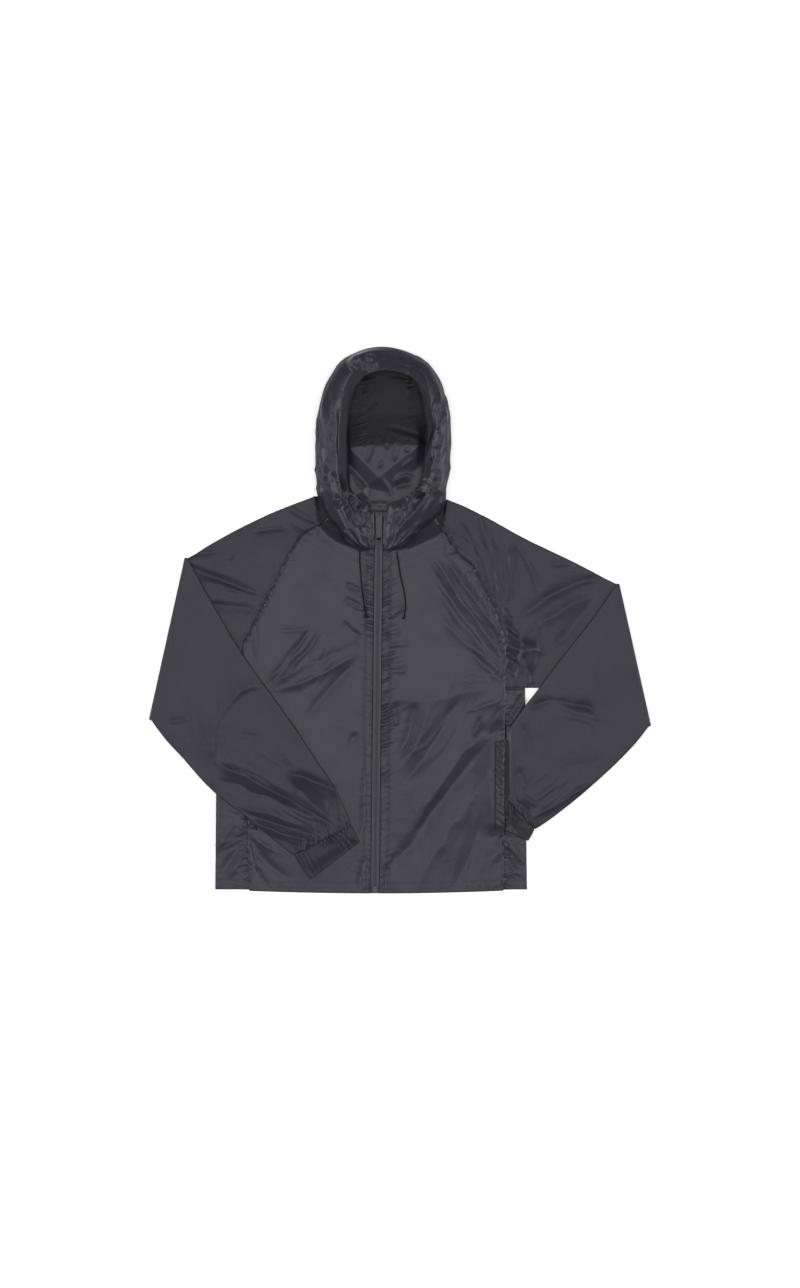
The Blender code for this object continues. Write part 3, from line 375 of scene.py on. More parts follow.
INSIDE_CREASES = table(
    CREASE,
    (-21, 345, 46, 319, -4, 5, 5, -1.8),
    (-28, 338, 43, 310, -4, 5, 5, 1.2),
    (-61, 372, -37, 395, 0, 5, 5, -1.2),
    (-43, 418, -39, 338, 5, 14, 14, 1.4),
    (-70, 425, -43, 434, -3, 3, 3, -1.2),
    (-21, 434, 20, 425, -4, 3, 3, -1.2),
    (-92, 268, -51, 214, 2, 6, 5, 2.6),
    (-86, 262, -56, 222, 2, 3, 3, -1.8),
    (-48, 314, -57, 280, 0, 3, 3, -2.0),
    (-8, 312, -9, 282, 0, 3, 4, -2.0),
    (-22, 314, -24, 304, 0, 3, 3, -1.4),
    (-31, 284, -36, 270, 0, 3, 3, -1.4),
    (-33, 256, -12, 216, 0, 4, 4, 1.6),
    (-12, 244, 21, 257, -4, 5, 7, 3.4),
    (-9, 237, 22, 243, 0, 4, 4, -1.8),
    (2, 269, 23, 287, 0, 3, 3, 1.8),
    (7, 306, 21, 299, 0, 3, 3, -1.4))

# The V below the back neck: a line of each side, the slope down beyond it, its reach and the rise after.
NECK_V_HEIGHT = 10.5
NECK_V_X = -30.0
NECK_V_SOFT = 1.6            # rounding where the fold meets the cloth below it
NECK_V_RISE = 14.0           # how far the cloth rises again beside it
NECK_V_REACH = (58.0, 78.0)  # from its middle, along x
NECK_V_Y = (196.0, 214.0)
IN_HOOD_REACH = (90.0, 100.0)               # the part of the back inside the hood, from the same middle
IN_HOOD_Y = (165.0, 200.0)
NECK_SIDE_REACH = (45.0, 75.0)              # the sides of the neck seam, from the same middle
NECK_SIDE_Y = (206.0, 226.0)
NECK_TUCK = (3.5, 7.0)       # of the back's edge under the hood, up in the middle and at the sides
NECK_SIDE_TUCK = 6.0         # and outwards at the sides
NECK_V_SIDES = table(
    "x0 y0 x1 y1 slope reach rise",
    (-85, 301, -33, 246, 0.40, 22, 0.25),
    (-33, 257, 25, 303, 0.34, 31, 0),
    (40, 309, -100, 309, 0.19, 60, 0))

# Fields of thin wrinkles: middle, direction in degrees, reach along and across, pitch, height.
STREAK = "x y angle reach_along reach_across pitch height"
BODY_STREAKS = table(
    STREAK,
    (125, 18, -56, 80, 40, 9, 0.5),
    (164, 98, -80, 70, 45, 8, 0.7),
    (53, -214, 53, 110, 60, 15, 0.5),
    (-160, -89, 50, 60, 40, 10, 0.5),
    (-311, 71, -22, 60, 30, 9, 0.45),
    (125, -409, 68, 60, 50, 12, 0.5))
FOREARM_STREAKS = {
    "right": table(STREAK, (-178, -347, -28, 70, 30, 9, 0.6), (-250, -280, -28, 60, 40, 14, 0.4)),
    "left": table(STREAK, (258, -303, 36, 50, 30, 9, 0.5), (330, -180, -20, 60, 50, 16, 0.3))}
# Gathers that run out from a point: its place, middle direction, half angle, radii, pitch, height.
FAN = "x y angle half_angle near far pitch_angle height"
BODY_FANS = table(
    FAN,
    (-269, -383, -90, 85, 15, 80, 11, 1.0),
    (183, -370, -70, 70, 15, 75, 12, 1.0),
    (187, -107, 140, 55, 20, 95, 9, 0.6),
    (187, -107, 60, 55, 15, 75, 12, 0.9),
    (80, 169, -62, 45, 12, 70, 9, 0.7))
HOOD_FANS = table(
    FAN,
    (-50, 110, 124, 36, 14, 190, 6, 2.2),
    (-24, 108, 50, 36, 14, 180, 6, 2.2))
HOOD_STREAKS = table(
    STREAK,
    (-130, 330, 90, 90, 22, 7, 1.3),
    (-122, 235, 105, 70, 26, 7, 1.6),
    (-100, 185, 118, 50, 26, 7, 1.5),
    (74, 330, 80, 70, 18, 8, 1.2),
    (64, 240, 62, 50, 26, 8, 1.3),
    (40, 190, 50, 60, 24, 7, 1.5))

# Lower limit of the fronts' slope down under the hood.
NECK_SHADE = {
    "right": ((-220, 330), (-152, 230), (-146, 167), (-128, 150), (-113, 139), (-88, 129), (-73, 122),
              (-38, 118)),
    "left": ((-38, 118), (2, 125), (17, 127), (34, 134), (52, 142), (67, 150), (79, 162), (84, 225),
             (150, 330))}
NECK_SLOPE = 0.25
NECK_BROW = 1.7              # the fronts' rise before that slope
NECK_BROW_REACH = 30.0


# ---------------------------------------------------------------- numbers

def smooth(low, high, value):
    """0 below low, 1 above high, and a soft step between."""
    share = np.clip((np.asarray(value, float) - low) / (high - low), 0.0, 1.0)
    return share * share * (3.0 - 2.0 * share)


def mix(start, end, share):
    """The start where the share is 0, the end where it is 1."""
    return start + (end - start) * share


def fading(low, high, value):
    """1 below low, 0 above high, and a soft step between."""
    return 1.0 - smooth(low, high, value)


def window(limits, value):
    """1 between the two middle limits, fading to 0 at the outer two."""
    return smooth(*limits[:2], value) * fading(*limits[2:], value)


LATTICE_FACTORS = (374761393, 668265263, 974634777, 1274126177)
LATTICE_BITS = 0xFFFFFFFF


def lattice(column, row, seed):
    """Repeatable value from -1 to 1 for each whole-number place."""
    for_column, for_row, for_seed, stir = LATTICE_FACTORS
    mixed = column.astype(np.int64) * for_column + row.astype(np.int64) * for_row + seed * for_seed
    mixed &= LATTICE_BITS
    mixed = ((mixed ^ (mixed >> 13)) * stir) & LATTICE_BITS
    return ((mixed ^ (mixed >> 16)) & 0xFFFF) / 32767.5 - 1.0


def at_least(low, value):
    """The value, softly held above low."""
    return low + 0.5 * np.logaddexp(0.0, (value - low) / 0.5)


def noise(x, y, seed):
    """Smooth noise from -1 to 1, with one free value for each whole-number place."""
    x, y = np.broadcast_arrays(np.asarray(x, float), np.asarray(y, float))
    column, row = np.floor(x), np.floor(y)
    across, down = (share ** 3 * (share * (share * 6.0 - 15.0) + 10.0) for share in (x - column, y - row))
    upper = mix(lattice(column, row, seed), lattice(column + 1, row, seed), across)
    lower = mix(lattice(column, row + 1, seed), lattice(column + 1, row + 1, seed), across)
    return mix(upper, lower, down)


def ridges(x, y, seed):
    """Noise with sharp crests, from -1 to 1."""
    return 1.0 - 2.0 * np.abs(noise(x, y, seed)) ** 0.8


def running(points):
    """Distance along a polyline at each of its points."""
    steps = np.linalg.norm(np.diff(points, axis=0), axis=-1)
    return np.concatenate([np.zeros((1,) + steps.shape[1:]), np.cumsum(steps, axis=0)])


def running_across(points):
    """Distance along each row of a grid at each of its points."""
    return running(points.transpose(1, 0, 2)).T


def on_line(line, marks, at):
    """Points of a polyline at the given marks."""
    return np.stack([np.interp(at, marks, values) for values in line.T], axis=-1)


def flowing(marks, values, at, corners=()):
    """Smooth curve through the values at the marks, with kinks at the corners."""
    marks, values, at = np.asarray(marks, float), np.asarray(values, float), np.asarray(at, float)
    shape = values.shape[1:]
    values = values.reshape(len(marks), -1)
    step = np.diff(marks)[:, None]
    slope = np.diff(values, axis=0) / step
    inner = (slope[:-1] * step[1:] + slope[1:] * step[:-1]) / (step[:-1] + step[1:])
    start, end = np.vstack([slope[:1], inner]), np.vstack([inner, slope[-1:]])
    for corner in corners:
        start[corner] = slope[corner]
        end[corner - 1] = slope[corner - 1]
    piece = np.clip(np.searchsorted(marks, at, side="right") - 1, 0, len(step) - 1)
    t = ((at - marks[piece]) / step[piece, 0])[:, None]
    placed = ((1 + 2 * t) * (1 - t) ** 2 * values[piece] + t * t * (3 - 2 * t) * values[piece + 1]
              + step[piece] * (t * (1 - t) ** 2 * start[piece] + t * t * (t - 1) * end[piece]))
    return placed.reshape((len(at),) + shape)


def drawn(points, shares, corners=()):
    """Points at the given shares of a smooth line through the points."""
    points = np.asarray(points, float)
    marks = running(points)
    return flowing(marks, points, np.asarray(shares) * marks[-1], corners)


# Steps between the lines of a grid, in the middle and near the ends, and how far the change reaches.
STEPS = {row.lines: row for row in table(
    "lines middle ends reach",
    ("front_rows", 2.3, 1.5, 30.0),
    ("front_columns", 2.4, 1.1, 26.0),
    ("back_rows", 3.4, 2.4, 60.0),
    ("back_columns", 3.0, 2.0, 60.0),
    ("panel_rows", 2.2, 1.5, 25.0),
    ("panel_columns", 2.2, 1.2, 14.0),
    ("sleeve_rows", 2.7, 1.5, 25.0),
    ("sleeve_columns", 2.7, 1.6, 22.0),
    ("forearm_rows", 2.5, 1.6, 14.0),
    ("cuff_rows", 1.3, 1.0, 5.0),
    ("hood_rows", 1.9, 1.3, 14.0),
    ("hood_columns", 2.1, 1.2, 12.0),
    ("strip_shares", 0.012, 0.008, 0.05))}


def spread(length, lines):
    """Shares of a length for the lines of a grid, which are closer together near its ends."""
    step = STEPS[lines]
    place = np.linspace(0.0, length, 500)
    local = mix(step.ends, step.middle, smooth(0.0, step.reach, np.minimum(place, length - place)))
    count = np.concatenate([[0.0], np.cumsum(np.diff(place) / ((local[:-1] + local[1:]) / 2))])
    wanted = np.linspace(0.0, count[-1], int(round(count[-1])) + 1)
    return np.interp(wanted, count, place) / length


def unit(vectors):
    """Vectors of length 1."""
    return vectors / np.maximum(np.linalg.norm(vectors, axis=-1, keepdims=True), 1e-9)


def sideways(points, distance):
    """A plan line moved to the right of its direction."""
    run = unit(np.gradient(points, axis=0))
    return points + np.stack([run[:, 1], -run[:, 0]], axis=1) * distance


# ---------------------------------------------------------------- heights

def crease_height(rows, x, y):
    """Sum of the creases at each place: uneven along their runs, fading at their ends."""
    total = np.zeros(np.shape(x))
    for number, row in enumerate(rows):
        run_x, run_y = row.x1 - row.x0, row.y1 - row.y0
        length = math.hypot(run_x, run_y)
        share = ((x - row.x0) * run_x + (y - row.y0) * run_y) / length ** 2
        off = ((x - row.x0) * run_y - (y - row.y0) * run_x) / length
        reach = 3.5 * max(row.left, row.right) + abs(row.bow)
        near = (share > -0.15) & (share < 1.15) & (np.abs(off) < reach)
        share, off = share[near], off[near]
        off = off - row.bow * 4.0 * share * (1.0 - share)
        off += 0.5 * min(row.left, row.right) * noise(share * length / 30.0, 0.5, number)
        ends = smooth(-0.12, 0.25, share) * fading(0.7, 1.12, share)
        size = np.where(off < 0.0, row.left, row.right) * mix(0.55, 1.0, ends)
        uneven = 1.0 + 0.3 * noise(share * length / 26.0, 7.5, number)
        total[near] += row.height * ends * uneven * np.exp(-(np.abs(off) / size) ** 1.3)
    return total


def streak_height(rows, x, y):
    """Fields of long, thin, uneven wrinkles."""
    total = np.zeros(np.shape(x))
    for number, row in enumerate(rows):
        turn = math.radians(row.angle)
        along = (x - row.x) * math.cos(turn) + (y - row.y) * math.sin(turn)
        across = -(x - row.x) * math.sin(turn) + (y - row.y) * math.cos(turn)
        fade = np.exp(-(along / row.reach_along) ** 2 - (across / row.reach_across) ** 2)
        bend = across / row.pitch + 0.8 * noise(along / 60.0, across / 60.0, number + 40)
        total += row.height * fade * ridges(bend, along / (7.0 * row.pitch), number + 60)
    return total


def fan_height(rows, x, y):
    """Gathers that run out from a point."""
    total = np.zeros(np.shape(x))
    for number, row in enumerate(rows):
        radius = np.hypot(x - row.x, y - row.y)
        angle = np.degrees(np.arctan2(y - row.y, x - row.x))
        offset = (angle - row.angle + 180.0) % 360.0 - 180.0
        fade = window((0.3 * row.near, row.near, 0.55 * row.far, row.far), radius)
        fade *= fading(0.6 * row.half_angle, row.half_angle, np.abs(offset))
        wave = offset / row.pitch_angle + 0.5 * noise(radius / 18.0, offset / 20.0, number + 80)
        total += row.height * fade * ridges(wave, radius / 45.0, number + 90)
    return total


# Layers of the unevenness of thin nylon: height, wave lengths, and how far and widely the waves wander.
CRUMPLE_WIDE, CRUMPLE_SMALL, CRUMPLE_FINE = table(
    "height x_length y_length wander wander_length",
    (0.55, 46.0, 60.0, 0.3, 80.0),
    (0.16, 17.0, 22.0, 0.6, 40.0),
    (0.10, 11.0, 15.0, 0.7, 25.0))
CRUMPLE_PATCH = 70.0         # size of the patches of fine ridges


def crumple_layer(row, shape, x, y, seed):
    """Waves or ridges of one size."""
    wander = row.wander * noise(x / row.wander_length, y / row.wander_length, seed)
    return row.height * shape(x / row.x_length + wander, y / row.y_length, seed + 1)


def crumple(x, y, seed):
    """Soft, shallow unevenness of thin nylon."""
    patch = smooth(-0.1, 0.6, noise(x / CRUMPLE_PATCH, y / CRUMPLE_PATCH, seed + 6))
    waves = crumple_layer(CRUMPLE_WIDE, noise, x, y, seed)
    waves = waves + crumple_layer(CRUMPLE_SMALL, noise, x, y, seed + 2)
    return waves + crumple_layer(CRUMPLE_FINE, ridges, x, y, seed + 4) * patch


def swell(x, y):
    """Sum of the soft swells at each place."""
    total = np.zeros(np.shape(x))
    for row in SWELLS:
        total += row.height * np.exp(-((x - row.x) / row.reach_x) ** 2 - ((y - row.y) / row.reach_y) ** 2)
    return total


def zip_x(y):
    """Middle of the zip, which runs a little askew."""
    return ZIP_MIDDLE_X + ZIP_SLANT * (y - NECK_EDGE_Y)


def zip_height(y):
    """Height of the zip tape, which climbs into the collar at its upper end."""
    low = np.minimum(y, ZIP_RAMP_Y)
    return BODY_Z + swell(zip_x(y), low) + ZIP_RAMP * np.maximum(y - ZIP_RAMP_Y, 0.0)


def past_neck_line(x, y):
    """Distance beyond the line where the upper layer starts to sink towards the hood."""
    below = np.zeros(np.shape(x))
    for side, here in (("right", x <= ZIP_MIDDLE_X), ("left", x > ZIP_MIDDLE_X)):
        line = np.array(NECK_SHADE[side], float)
        below = np.where(here, np.interp(x, line[:, 0], line[:, 1]) - y, below)
    return -below


def neck_dip(x, y):
    """How far the upper layer sinks towards the hood."""
    past = past_neck_line(x, y)
    slope = NECK_SLOPE * np.clip(past, 0.0, 30.0) - NECK_BROW * smooth(-NECK_BROW_REACH, 0.0, past)
    return slope * smooth(10.0, 24.0, np.abs(x - zip_x(y)))


def body_height(x, y):
    """Upper body layer: fronts, side panels and the upper sleeves' fronts."""
    beside_zip = smooth(6.0, 22.0, np.abs(x - zip_x(y)))
    folds = crease_height(BODY_CREASES, x, y) + streak_height(BODY_STREAKS, x, y)
    folds += fan_height(BODY_FANS, x, y)
    folds = (folds + crumple(x, y, 11)) * mix(0.25, 1.0, beside_zip)
    return at_least(BODY_LOW_Z, BODY_Z + swell(x, y) + folds - neck_dip(x, y))


def front_height(side, x, y):
    """The body layer, lifted on the left where the sleeve goes into the pocket."""
    height = body_height(x, y)
    if side == "left":
        height = height + MOUTH_LIFT * smooth(*MOUTH_FRONT_X, x) * window(MOUTH_FRONT_Y, y)
    return height


def side_height(side, x, y):
    """The body layer, pressed down on the left where the sleeve goes into the pocket."""
    height = body_height(x, y)
    if side == "left":
        height = height - MOUTH_SINK * fading(*MOUTH_SIDE_X, x) * window(MOUTH_SIDE_Y, y)
    return height


def forearm_height(side, x, y):
    """The folded forearm's lower and upper layer."""
    tuck, step = np.zeros(np.shape(x)), 0.0
    if side == "left":
        tuck = fading(*TUCK_X, x)
        step = fading(*TUCK_STEP_X, x)
    rows, streaks = FOREARM_CREASES[side], FOREARM_STREAKS[side]
    folds = crease_height(rows, x, y) + streak_height(streaks, x, y) + crumple(x, y, 23)
    top = FOREARM_TOP_Z + folds * (1.0 - 0.85 * tuck) - TUCK_TOP * mix(tuck, step, smooth(*TUCK_STEP_Y, y))
    low = FOREARM_LOW_Z - TUCK_LOW * tuck
    return low, at_least(low + 0.9, top)


def hem_y(x):
    """The hem's edge, which rises a little towards the sides."""
    half = np.where(x < ZIP_MIDDLE_X, HEM_HALF["right"], HEM_HALF["left"])
    share = np.minimum(np.abs(x - ZIP_MIDDLE_X) / half, 1.0)
    return mix(HEM_MIDDLE_Y, HEM_SIDE_Y, share * share)


# ---------------------------------------------------------------- grids of points

def coons(top, bottom, left, right, across, down):
    """Grid between four edges, rows running down and columns from left to right."""
    u, v = across[None, :, None], down[:, None, None]
    corners = mix(mix(top[0], top[-1], u), mix(bottom[0], bottom[-1], u), v)
    return mix(top[None], bottom[None], v) + mix(left[:, None], right[:, None], u) - corners


def lifted(flat, height):
    """A plan grid with its heights."""
    return np.concatenate([flat, np.broadcast_to(height, flat.shape[:2])[..., None]], axis=2)


def edge_distances(points):
    """Distances from the left, right, top and bottom edges, and along columns and rows."""
    across, down = running_across(points), running(points)
    return {"left": (across, down), "right": (across[:, -1:] - across, down),
            "top": (down, across), "bottom": (down[-1:] - down, across)}


def pucker(distance, along, pitch, reach, seed):
    """Small uneven gathers that run out from a seam."""
    slant = 0.7 * distance * noise(along / 55.0, 0.5, seed + 1)
    wave = ridges(2.0 * (along + slant) / pitch, distance / (3.0 * pitch), seed + 2)
    bold = 0.75 + 0.55 * noise(along / 38.0, 3.5, seed + 3)
    length = reach * (1.0 + 0.5 * noise(along / (1.4 * pitch), 9.5, seed + 4))
    return wave * bold * np.exp(-(np.abs(distance) / length) ** 1.5)


# Small gathers beside the lines where the cloth is sewn: their height, the distance between two,
# how far they reach, and what is added to the seed of their piece.
DRAWN = {row.line: row for row in table(
    "line height pitch reach seed",
    ("placket", 1.0, 8.0, 6.0, 7),
    ("front_edge", 0.35, 9.0, 5.0, 9),
    ("front_side", 0.95, 8.5, 12.0, 14),
    ("front_hem", 0.4, 12.0, 15.0, 21),
    ("back_neck", 0.9, 10.0, 7.0, 301),
    ("panel_seam", 1.5, 9.0, 16.0, 0),
    ("panel_hem", 0.4, 12.0, 15.0, 7),
    ("panel_fold", 0.3, 16.0, 12.0, 14),
    ("raglan_above", 0.95, 8.5, 13.0, 601),
    ("raglan_below", 0.6, 8.5, 13.0, 611),
    ("cuff_seam", 1.7, 6.5, 16.0, 621),
    ("crown_seam", 1.2, 11.0, 18.0, 2),
    ("hood_channel", 1.0, 13.0, 16.0, 4),
    ("hood_edge", 1.0, 13.0, 14.0, 5),
    ("strip_seam", 1.1, 8.0, 12.0, 791),
    ("strip_channel", 0.5, 9.0, 14.0, 792))}


def drawn_up(line, distance, along, seed=0):
    """The gathers of one sewn line."""
    row = DRAWN[line]
    return row.height * pucker(distance, along, row.pitch, row.reach, row.seed + seed)


def gathers(along, distance, pitch, seed):
    """Rounded pleats that stand across a seam, one for each pitch, uneven in place and height."""
    wander = noise(along / (2.1 * pitch), distance / 60.0, seed)
    wander += 0.3 * noise(along / (1.1 * pitch), distance / 22.0, seed + 1)
    wave = np.cos(2.0 * math.pi * (along / pitch + 0.5 * wander))
    return (wave - 0.35 * wave ** 2) * (0.8 + 0.5 * noise(along / (2.7 * pitch), distance / 40.0, seed + 2))


def dashes(along, distance, pitch, seed):
    """Short narrow folds that stand across a seam, some deep and some hardly there."""
    place = along / pitch + 0.6 * noise(along / (1.7 * pitch), distance / 30.0, seed)
    depth = smooth(-0.65, 0.45, noise(along / (1.1 * pitch), 0.5, seed + 1))
    return depth * np.exp(-10.0 * np.sin(math.pi * place) ** 2)


def dent(distance, depth, width):
    """How far the cloth sinks along a line."""
    return depth * np.exp(-(distance / width) ** 2)


def seam_groove(distance, depth=1.0):
    """The cloth sinks into a seam and stands proud on the allowance beside it."""
    return dent(distance - 5.0, 0.35 * depth, 2.5) - dent(distance, depth, 1.8)


def normals(points, roof):
    """Unit normals of a grid, on the side that looks up over its roof."""
    down, across = np.gradient(points, axis=0), np.gradient(points, axis=1)
    facing = unit(np.cross(down, across))
    return facing * (1.0 if facing[roof][..., 2].mean() > 0.0 else -1.0)


TURN_STEPS = 4               # rows of a turned edge


def turned(points, edge, radius, back=0.0, under=-1.0):
    """The grid with one edge turned under in a half round, and back by some distance."""
    upright, reverse = edge in ("left", "right"), edge in ("left", "top")
    grid = points.transpose(1, 0, 2) if upright else points
    grid = grid[::-1] if reverse else grid
    outward = unit(grid[-1] - grid[-2])
    along = unit(np.gradient(grid[-1], axis=0))
    normal = unit(np.cross(along, outward))
    normal *= np.where(normal[:, 2:] < 0.0, -1.0, 1.0)
    rows = []
    for angle in np.linspace(0.0, math.pi if back else math.pi / 2, TURN_STEPS + 1)[1:]:
        rows.append(grid[-1] + outward * radius * math.sin(angle)
                    + under * normal * radius * (1.0 - math.cos(angle)))
    if back:
        rows += [rows[-1] - outward * back * share for share in (0.5, 1.0)]
    grid = np.concatenate([grid, np.array(rows)])
    grid = grid[::-1] if reverse else grid
    return grid.transpose(1, 0, 2) if upright else grid


def half_round(upper, lower, away, steps):
    """Columns of points that join a lower to an upper edge in a half round, bulging away from them."""
    middle, half = (upper + lower) / 2, (upper - lower) / 2
    size = np.linalg.norm(half, axis=1, keepdims=True)
    columns = [middle + half * math.sin(angle) + away * size * math.cos(angle)
               for angle in np.linspace(-math.pi / 2, math.pi / 2, steps + 2)[1:-1]]
    return np.stack(columns, axis=1)


def inset_line(points, edge, inset):
    """The line on a grid that runs at some distance inside one of its edges."""
    across, _along = edge_distances(points)[edge]
    if edge in ("top", "bottom"):
        points, across = points.transpose(1, 0, 2), across.T
    line = []
    for distances, row in zip(across, points):
        order = np.argsort(distances)
        line.append(on_line(row[order], distances[order], inset))
    return np.array(line)


# ---------------------------------------------------------------- Blender helpers

def in_scene(name, data):
    """An object of the scene."""
    item = bpy.data.objects.new(name, data)
    bpy.context.scene.collection.objects.link(item)
    return item


def mesh_object(name, points, faces, materials, face_materials=None, soft=True):
    """A mesh from points in millimetres."""
    mesh = bpy.data.meshes.new(name)
    mesh.from_pydata((np.asarray(points) * MM).tolist(), [], [tuple(face) for face in faces])
    for finish in materials:
        mesh.materials.append(finish)
    if face_materials is not None:
        mesh.polygons.foreach_set("material_index", face_materials)
    if soft:
        mesh.shade_smooth()
    mesh.update()
    return in_scene(name, mesh)


def grid_faces(rows, columns, ring=False):
    """Faces of a grid of points; a ring also joins its last column to its first."""
    index = np.arange(rows * columns).reshape(rows, columns)
    if ring:
        index = np.hstack([index, index[:, :1]])
    corners = (index[:-1, :-1], index[:-1, 1:], index[1:, 1:], index[1:, :-1])
    return np.stack(corners, axis=-1).reshape(-1, 4)


def bind(item, body, solid=None):
    """Tie a piece to its body, and hide the solid that it stands for."""
    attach(item, body)
    if solid:
        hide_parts(solid)


def cloth(solid, points, finish, ring=False, flip=False, areas=()):
    """A shell on a grid of points that stands for a solid; areas have other materials."""
    points = np.concatenate([points[..., :2], np.maximum(points[..., 2:], LOWEST_Z)], axis=2)
    faces = grid_faces(*points.shape[:2], ring)
    if flip:
        faces = faces[:, ::-1]
    chosen = np.zeros(len(faces), np.int32)
    for number, (_other, mask) in enumerate(areas):
        chosen[mask.reshape(-1)] = number + 1
    materials = [finish] + [other for other, _mask in areas]
    item = mesh_object(solid + "_cloth", points.reshape(-1, 3), faces, materials, chosen)
    bind(item, JACKET, solid)


# ---------------------------------------------------------------- materials

def shader_of(made):
    """The node that holds a material's finish."""
    return made.node_tree.nodes["Principled BSDF"]


def material(name, colour, roughness, metallic=0.0, sheen=0.0, specular=0.5):
    """A plain finish."""
    made = bpy.data.materials.new(name)
    made.use_nodes = True
    for key, value in (("Base Color", (*colour, 1.0)), ("Roughness", roughness), ("Metallic", metallic),
                       ("Specular IOR Level", specular), ("Sheen Weight", sheen), ("Sheen Roughness", 0.45)):
        shader_of(made).inputs[key].default_value = value
    return made


def node(made, kind, **values):
    """A shader node with its properties and input values."""
    item = made.node_tree.nodes.new(kind)
    for key, value in values.items():
        if hasattr(item, key):
            setattr(item, key, value)
        else:
            item.inputs[key.replace("_", " ")].default_value = value
    return item


def texture(made, kind, coordinates, **values):
    """A node that reads the object's own coordinates."""
    item = node(made, kind, **values)
    made.node_tree.links.new(coordinates.outputs["Object"], item.inputs["Vector"])
    return item


def joined(made, operation, first, second):
    """The output of a sum or other operation on two outputs."""
    item = node(made, "ShaderNodeMath", operation=operation)
    made.node_tree.links.new(first, item.inputs[0])
    made.node_tree.links.new(second, item.inputs[1])
    return item.outputs["Value"]


def mottled(made, colour, scale, amount, coordinates):
    """Uneven colour, from a little darker to a little lighter."""
    links = made.node_tree.links
    cloud = texture(made, "ShaderNodeTexNoise", coordinates, Scale=scale, Detail=4.0, Roughness=0.6)
    ramp = node(made, "ShaderNodeValToRGB")
    for stop, share in zip(ramp.color_ramp.elements, (1.0 - amount, 1.0 + amount)):
        stop.color = (*(value * share for value in colour), 1.0)
    ramp.color_ramp.elements[0].position, ramp.color_ramp.elements[1].position = 0.3, 0.7
    links.new(cloud.outputs["Fac"], ramp.inputs["Fac"])
    links.new(ramp.outputs["Color"], shader_of(made).inputs["Base Color"])


def bumped(made, layers):
    """Bump nodes in a row, each a texture output with a strength and a depth in metres."""
    links, before = made.node_tree.links, None
    for output, strength, depth in layers:
        bump = node(made, "ShaderNodeBump", Strength=strength, Distance=depth)
        links.new(output, bump.inputs["Height"])
        if before:
            links.new(before.outputs["Normal"], bump.inputs["Normal"])
        before = bump
    links.new(before.outputs["Normal"], shader_of(made).inputs["Normal"])


def woven(name, colour, roughness, sheen, thread, crinkle, specular=0.5):
    """Plain-woven cloth: crossing threads, a fine crinkle and slightly uneven colour."""
    made = material(name, colour, roughness, sheen=sheen, specular=specular)
    coordinates = node(made, "ShaderNodeTexCoord")
    mottled(made, colour, 9.0, 0.07, coordinates)
    wave_scale = 2.0 * math.pi / (20.0 * thread * MM)
    threads = [texture(made, "ShaderNodeTexWave", coordinates, Scale=wave_scale, Distortion=0.4,
                       bands_direction=direction) for direction in ("X", "Y")]
    weave = joined(made, "MULTIPLY", threads[0].outputs["Fac"], threads[1].outputs["Fac"])
    fine = texture(made, "ShaderNodeTexNoise", coordinates, Scale=150.0, Detail=5.0, Roughness=0.55,
                   Distortion=0.6)
    bumped(made, ((fine.outputs["Fac"], crinkle, 0.0012), (weave, 0.15, 0.00006)))
    return made


def braided(name, colour):
    """Round braid: two sets of threads that cross on the slant."""
    made = material(name, colour, 0.85, sheen=0.05, specular=0.12)
    coordinates = node(made, "ShaderNodeTexCoord")
    heights = []
    for turn in (0.6, -0.6):
        place = texture(made, "ShaderNodeMapping", coordinates)
        place.inputs["Rotation"].default_value = (0.0, 0.0, turn)
        wave = node(made, "ShaderNodeTexWave", Scale=420.0, bands_direction="Y")
        made.node_tree.links.new(place.outputs["Vector"], wave.inputs["Vector"])
        heights.append(wave.outputs["Fac"])
    bumped(made, ((joined(made, "MAXIMUM", *heights), 0.7, 0.0003),))
    return made


def grained(name, colour, roughness, **finish):
    """Painted casting, plastic or thread with a faint grain."""
    made = material(name, colour, roughness, **finish)
    coordinates = node(made, "ShaderNodeTexCoord")
    mottled(made, colour, 300.0, 0.15, coordinates)
    grain = texture(made, "ShaderNodeTexNoise", coordinates, Scale=1800.0, Detail=3.0)
    bumped(made, ((grain.outputs["Fac"], 0.2, 0.0001),))
    return made


SHELL_COLOUR = (0.0192, 0.0184, 0.0262)
SHELL_THREAD = 0.42          # between two threads of the weave


def nylon(name, share, roughness, sheen, crinkle, specular):
    """The jacket's cloth, with a share of the shell's colour."""
    colour = tuple(share * value for value in SHELL_COLOUR)
    return woven("nylon_" + name, colour, roughness, sheen, SHELL_THREAD, crinkle, specular)


SHELL = nylon("shell", 1.0, 0.34, 0.08, 0.2, 0.285)
SLEEVE_CLOTH = nylon("sleeve", 0.93, 0.36, 0.04, 0.2, 0.24)
# Inner face of the cloth, darkened to half as painted shade: in the hood's hollow and the pocket mouth, in
# the crescent under the hood, and as shadow lines beside the zip tape and along the welts' edges.
INSIDE_AND_PAINTED_SHADE = nylon("inside", 0.5, 0.5, 0.0, 0.22, 0.22)
# Darker copy of the shell as painted shade on the hood's outer wall.
SHADED = nylon("hood_wall_shade", 0.7, 0.5, 0.0, 0.2, 0.19)
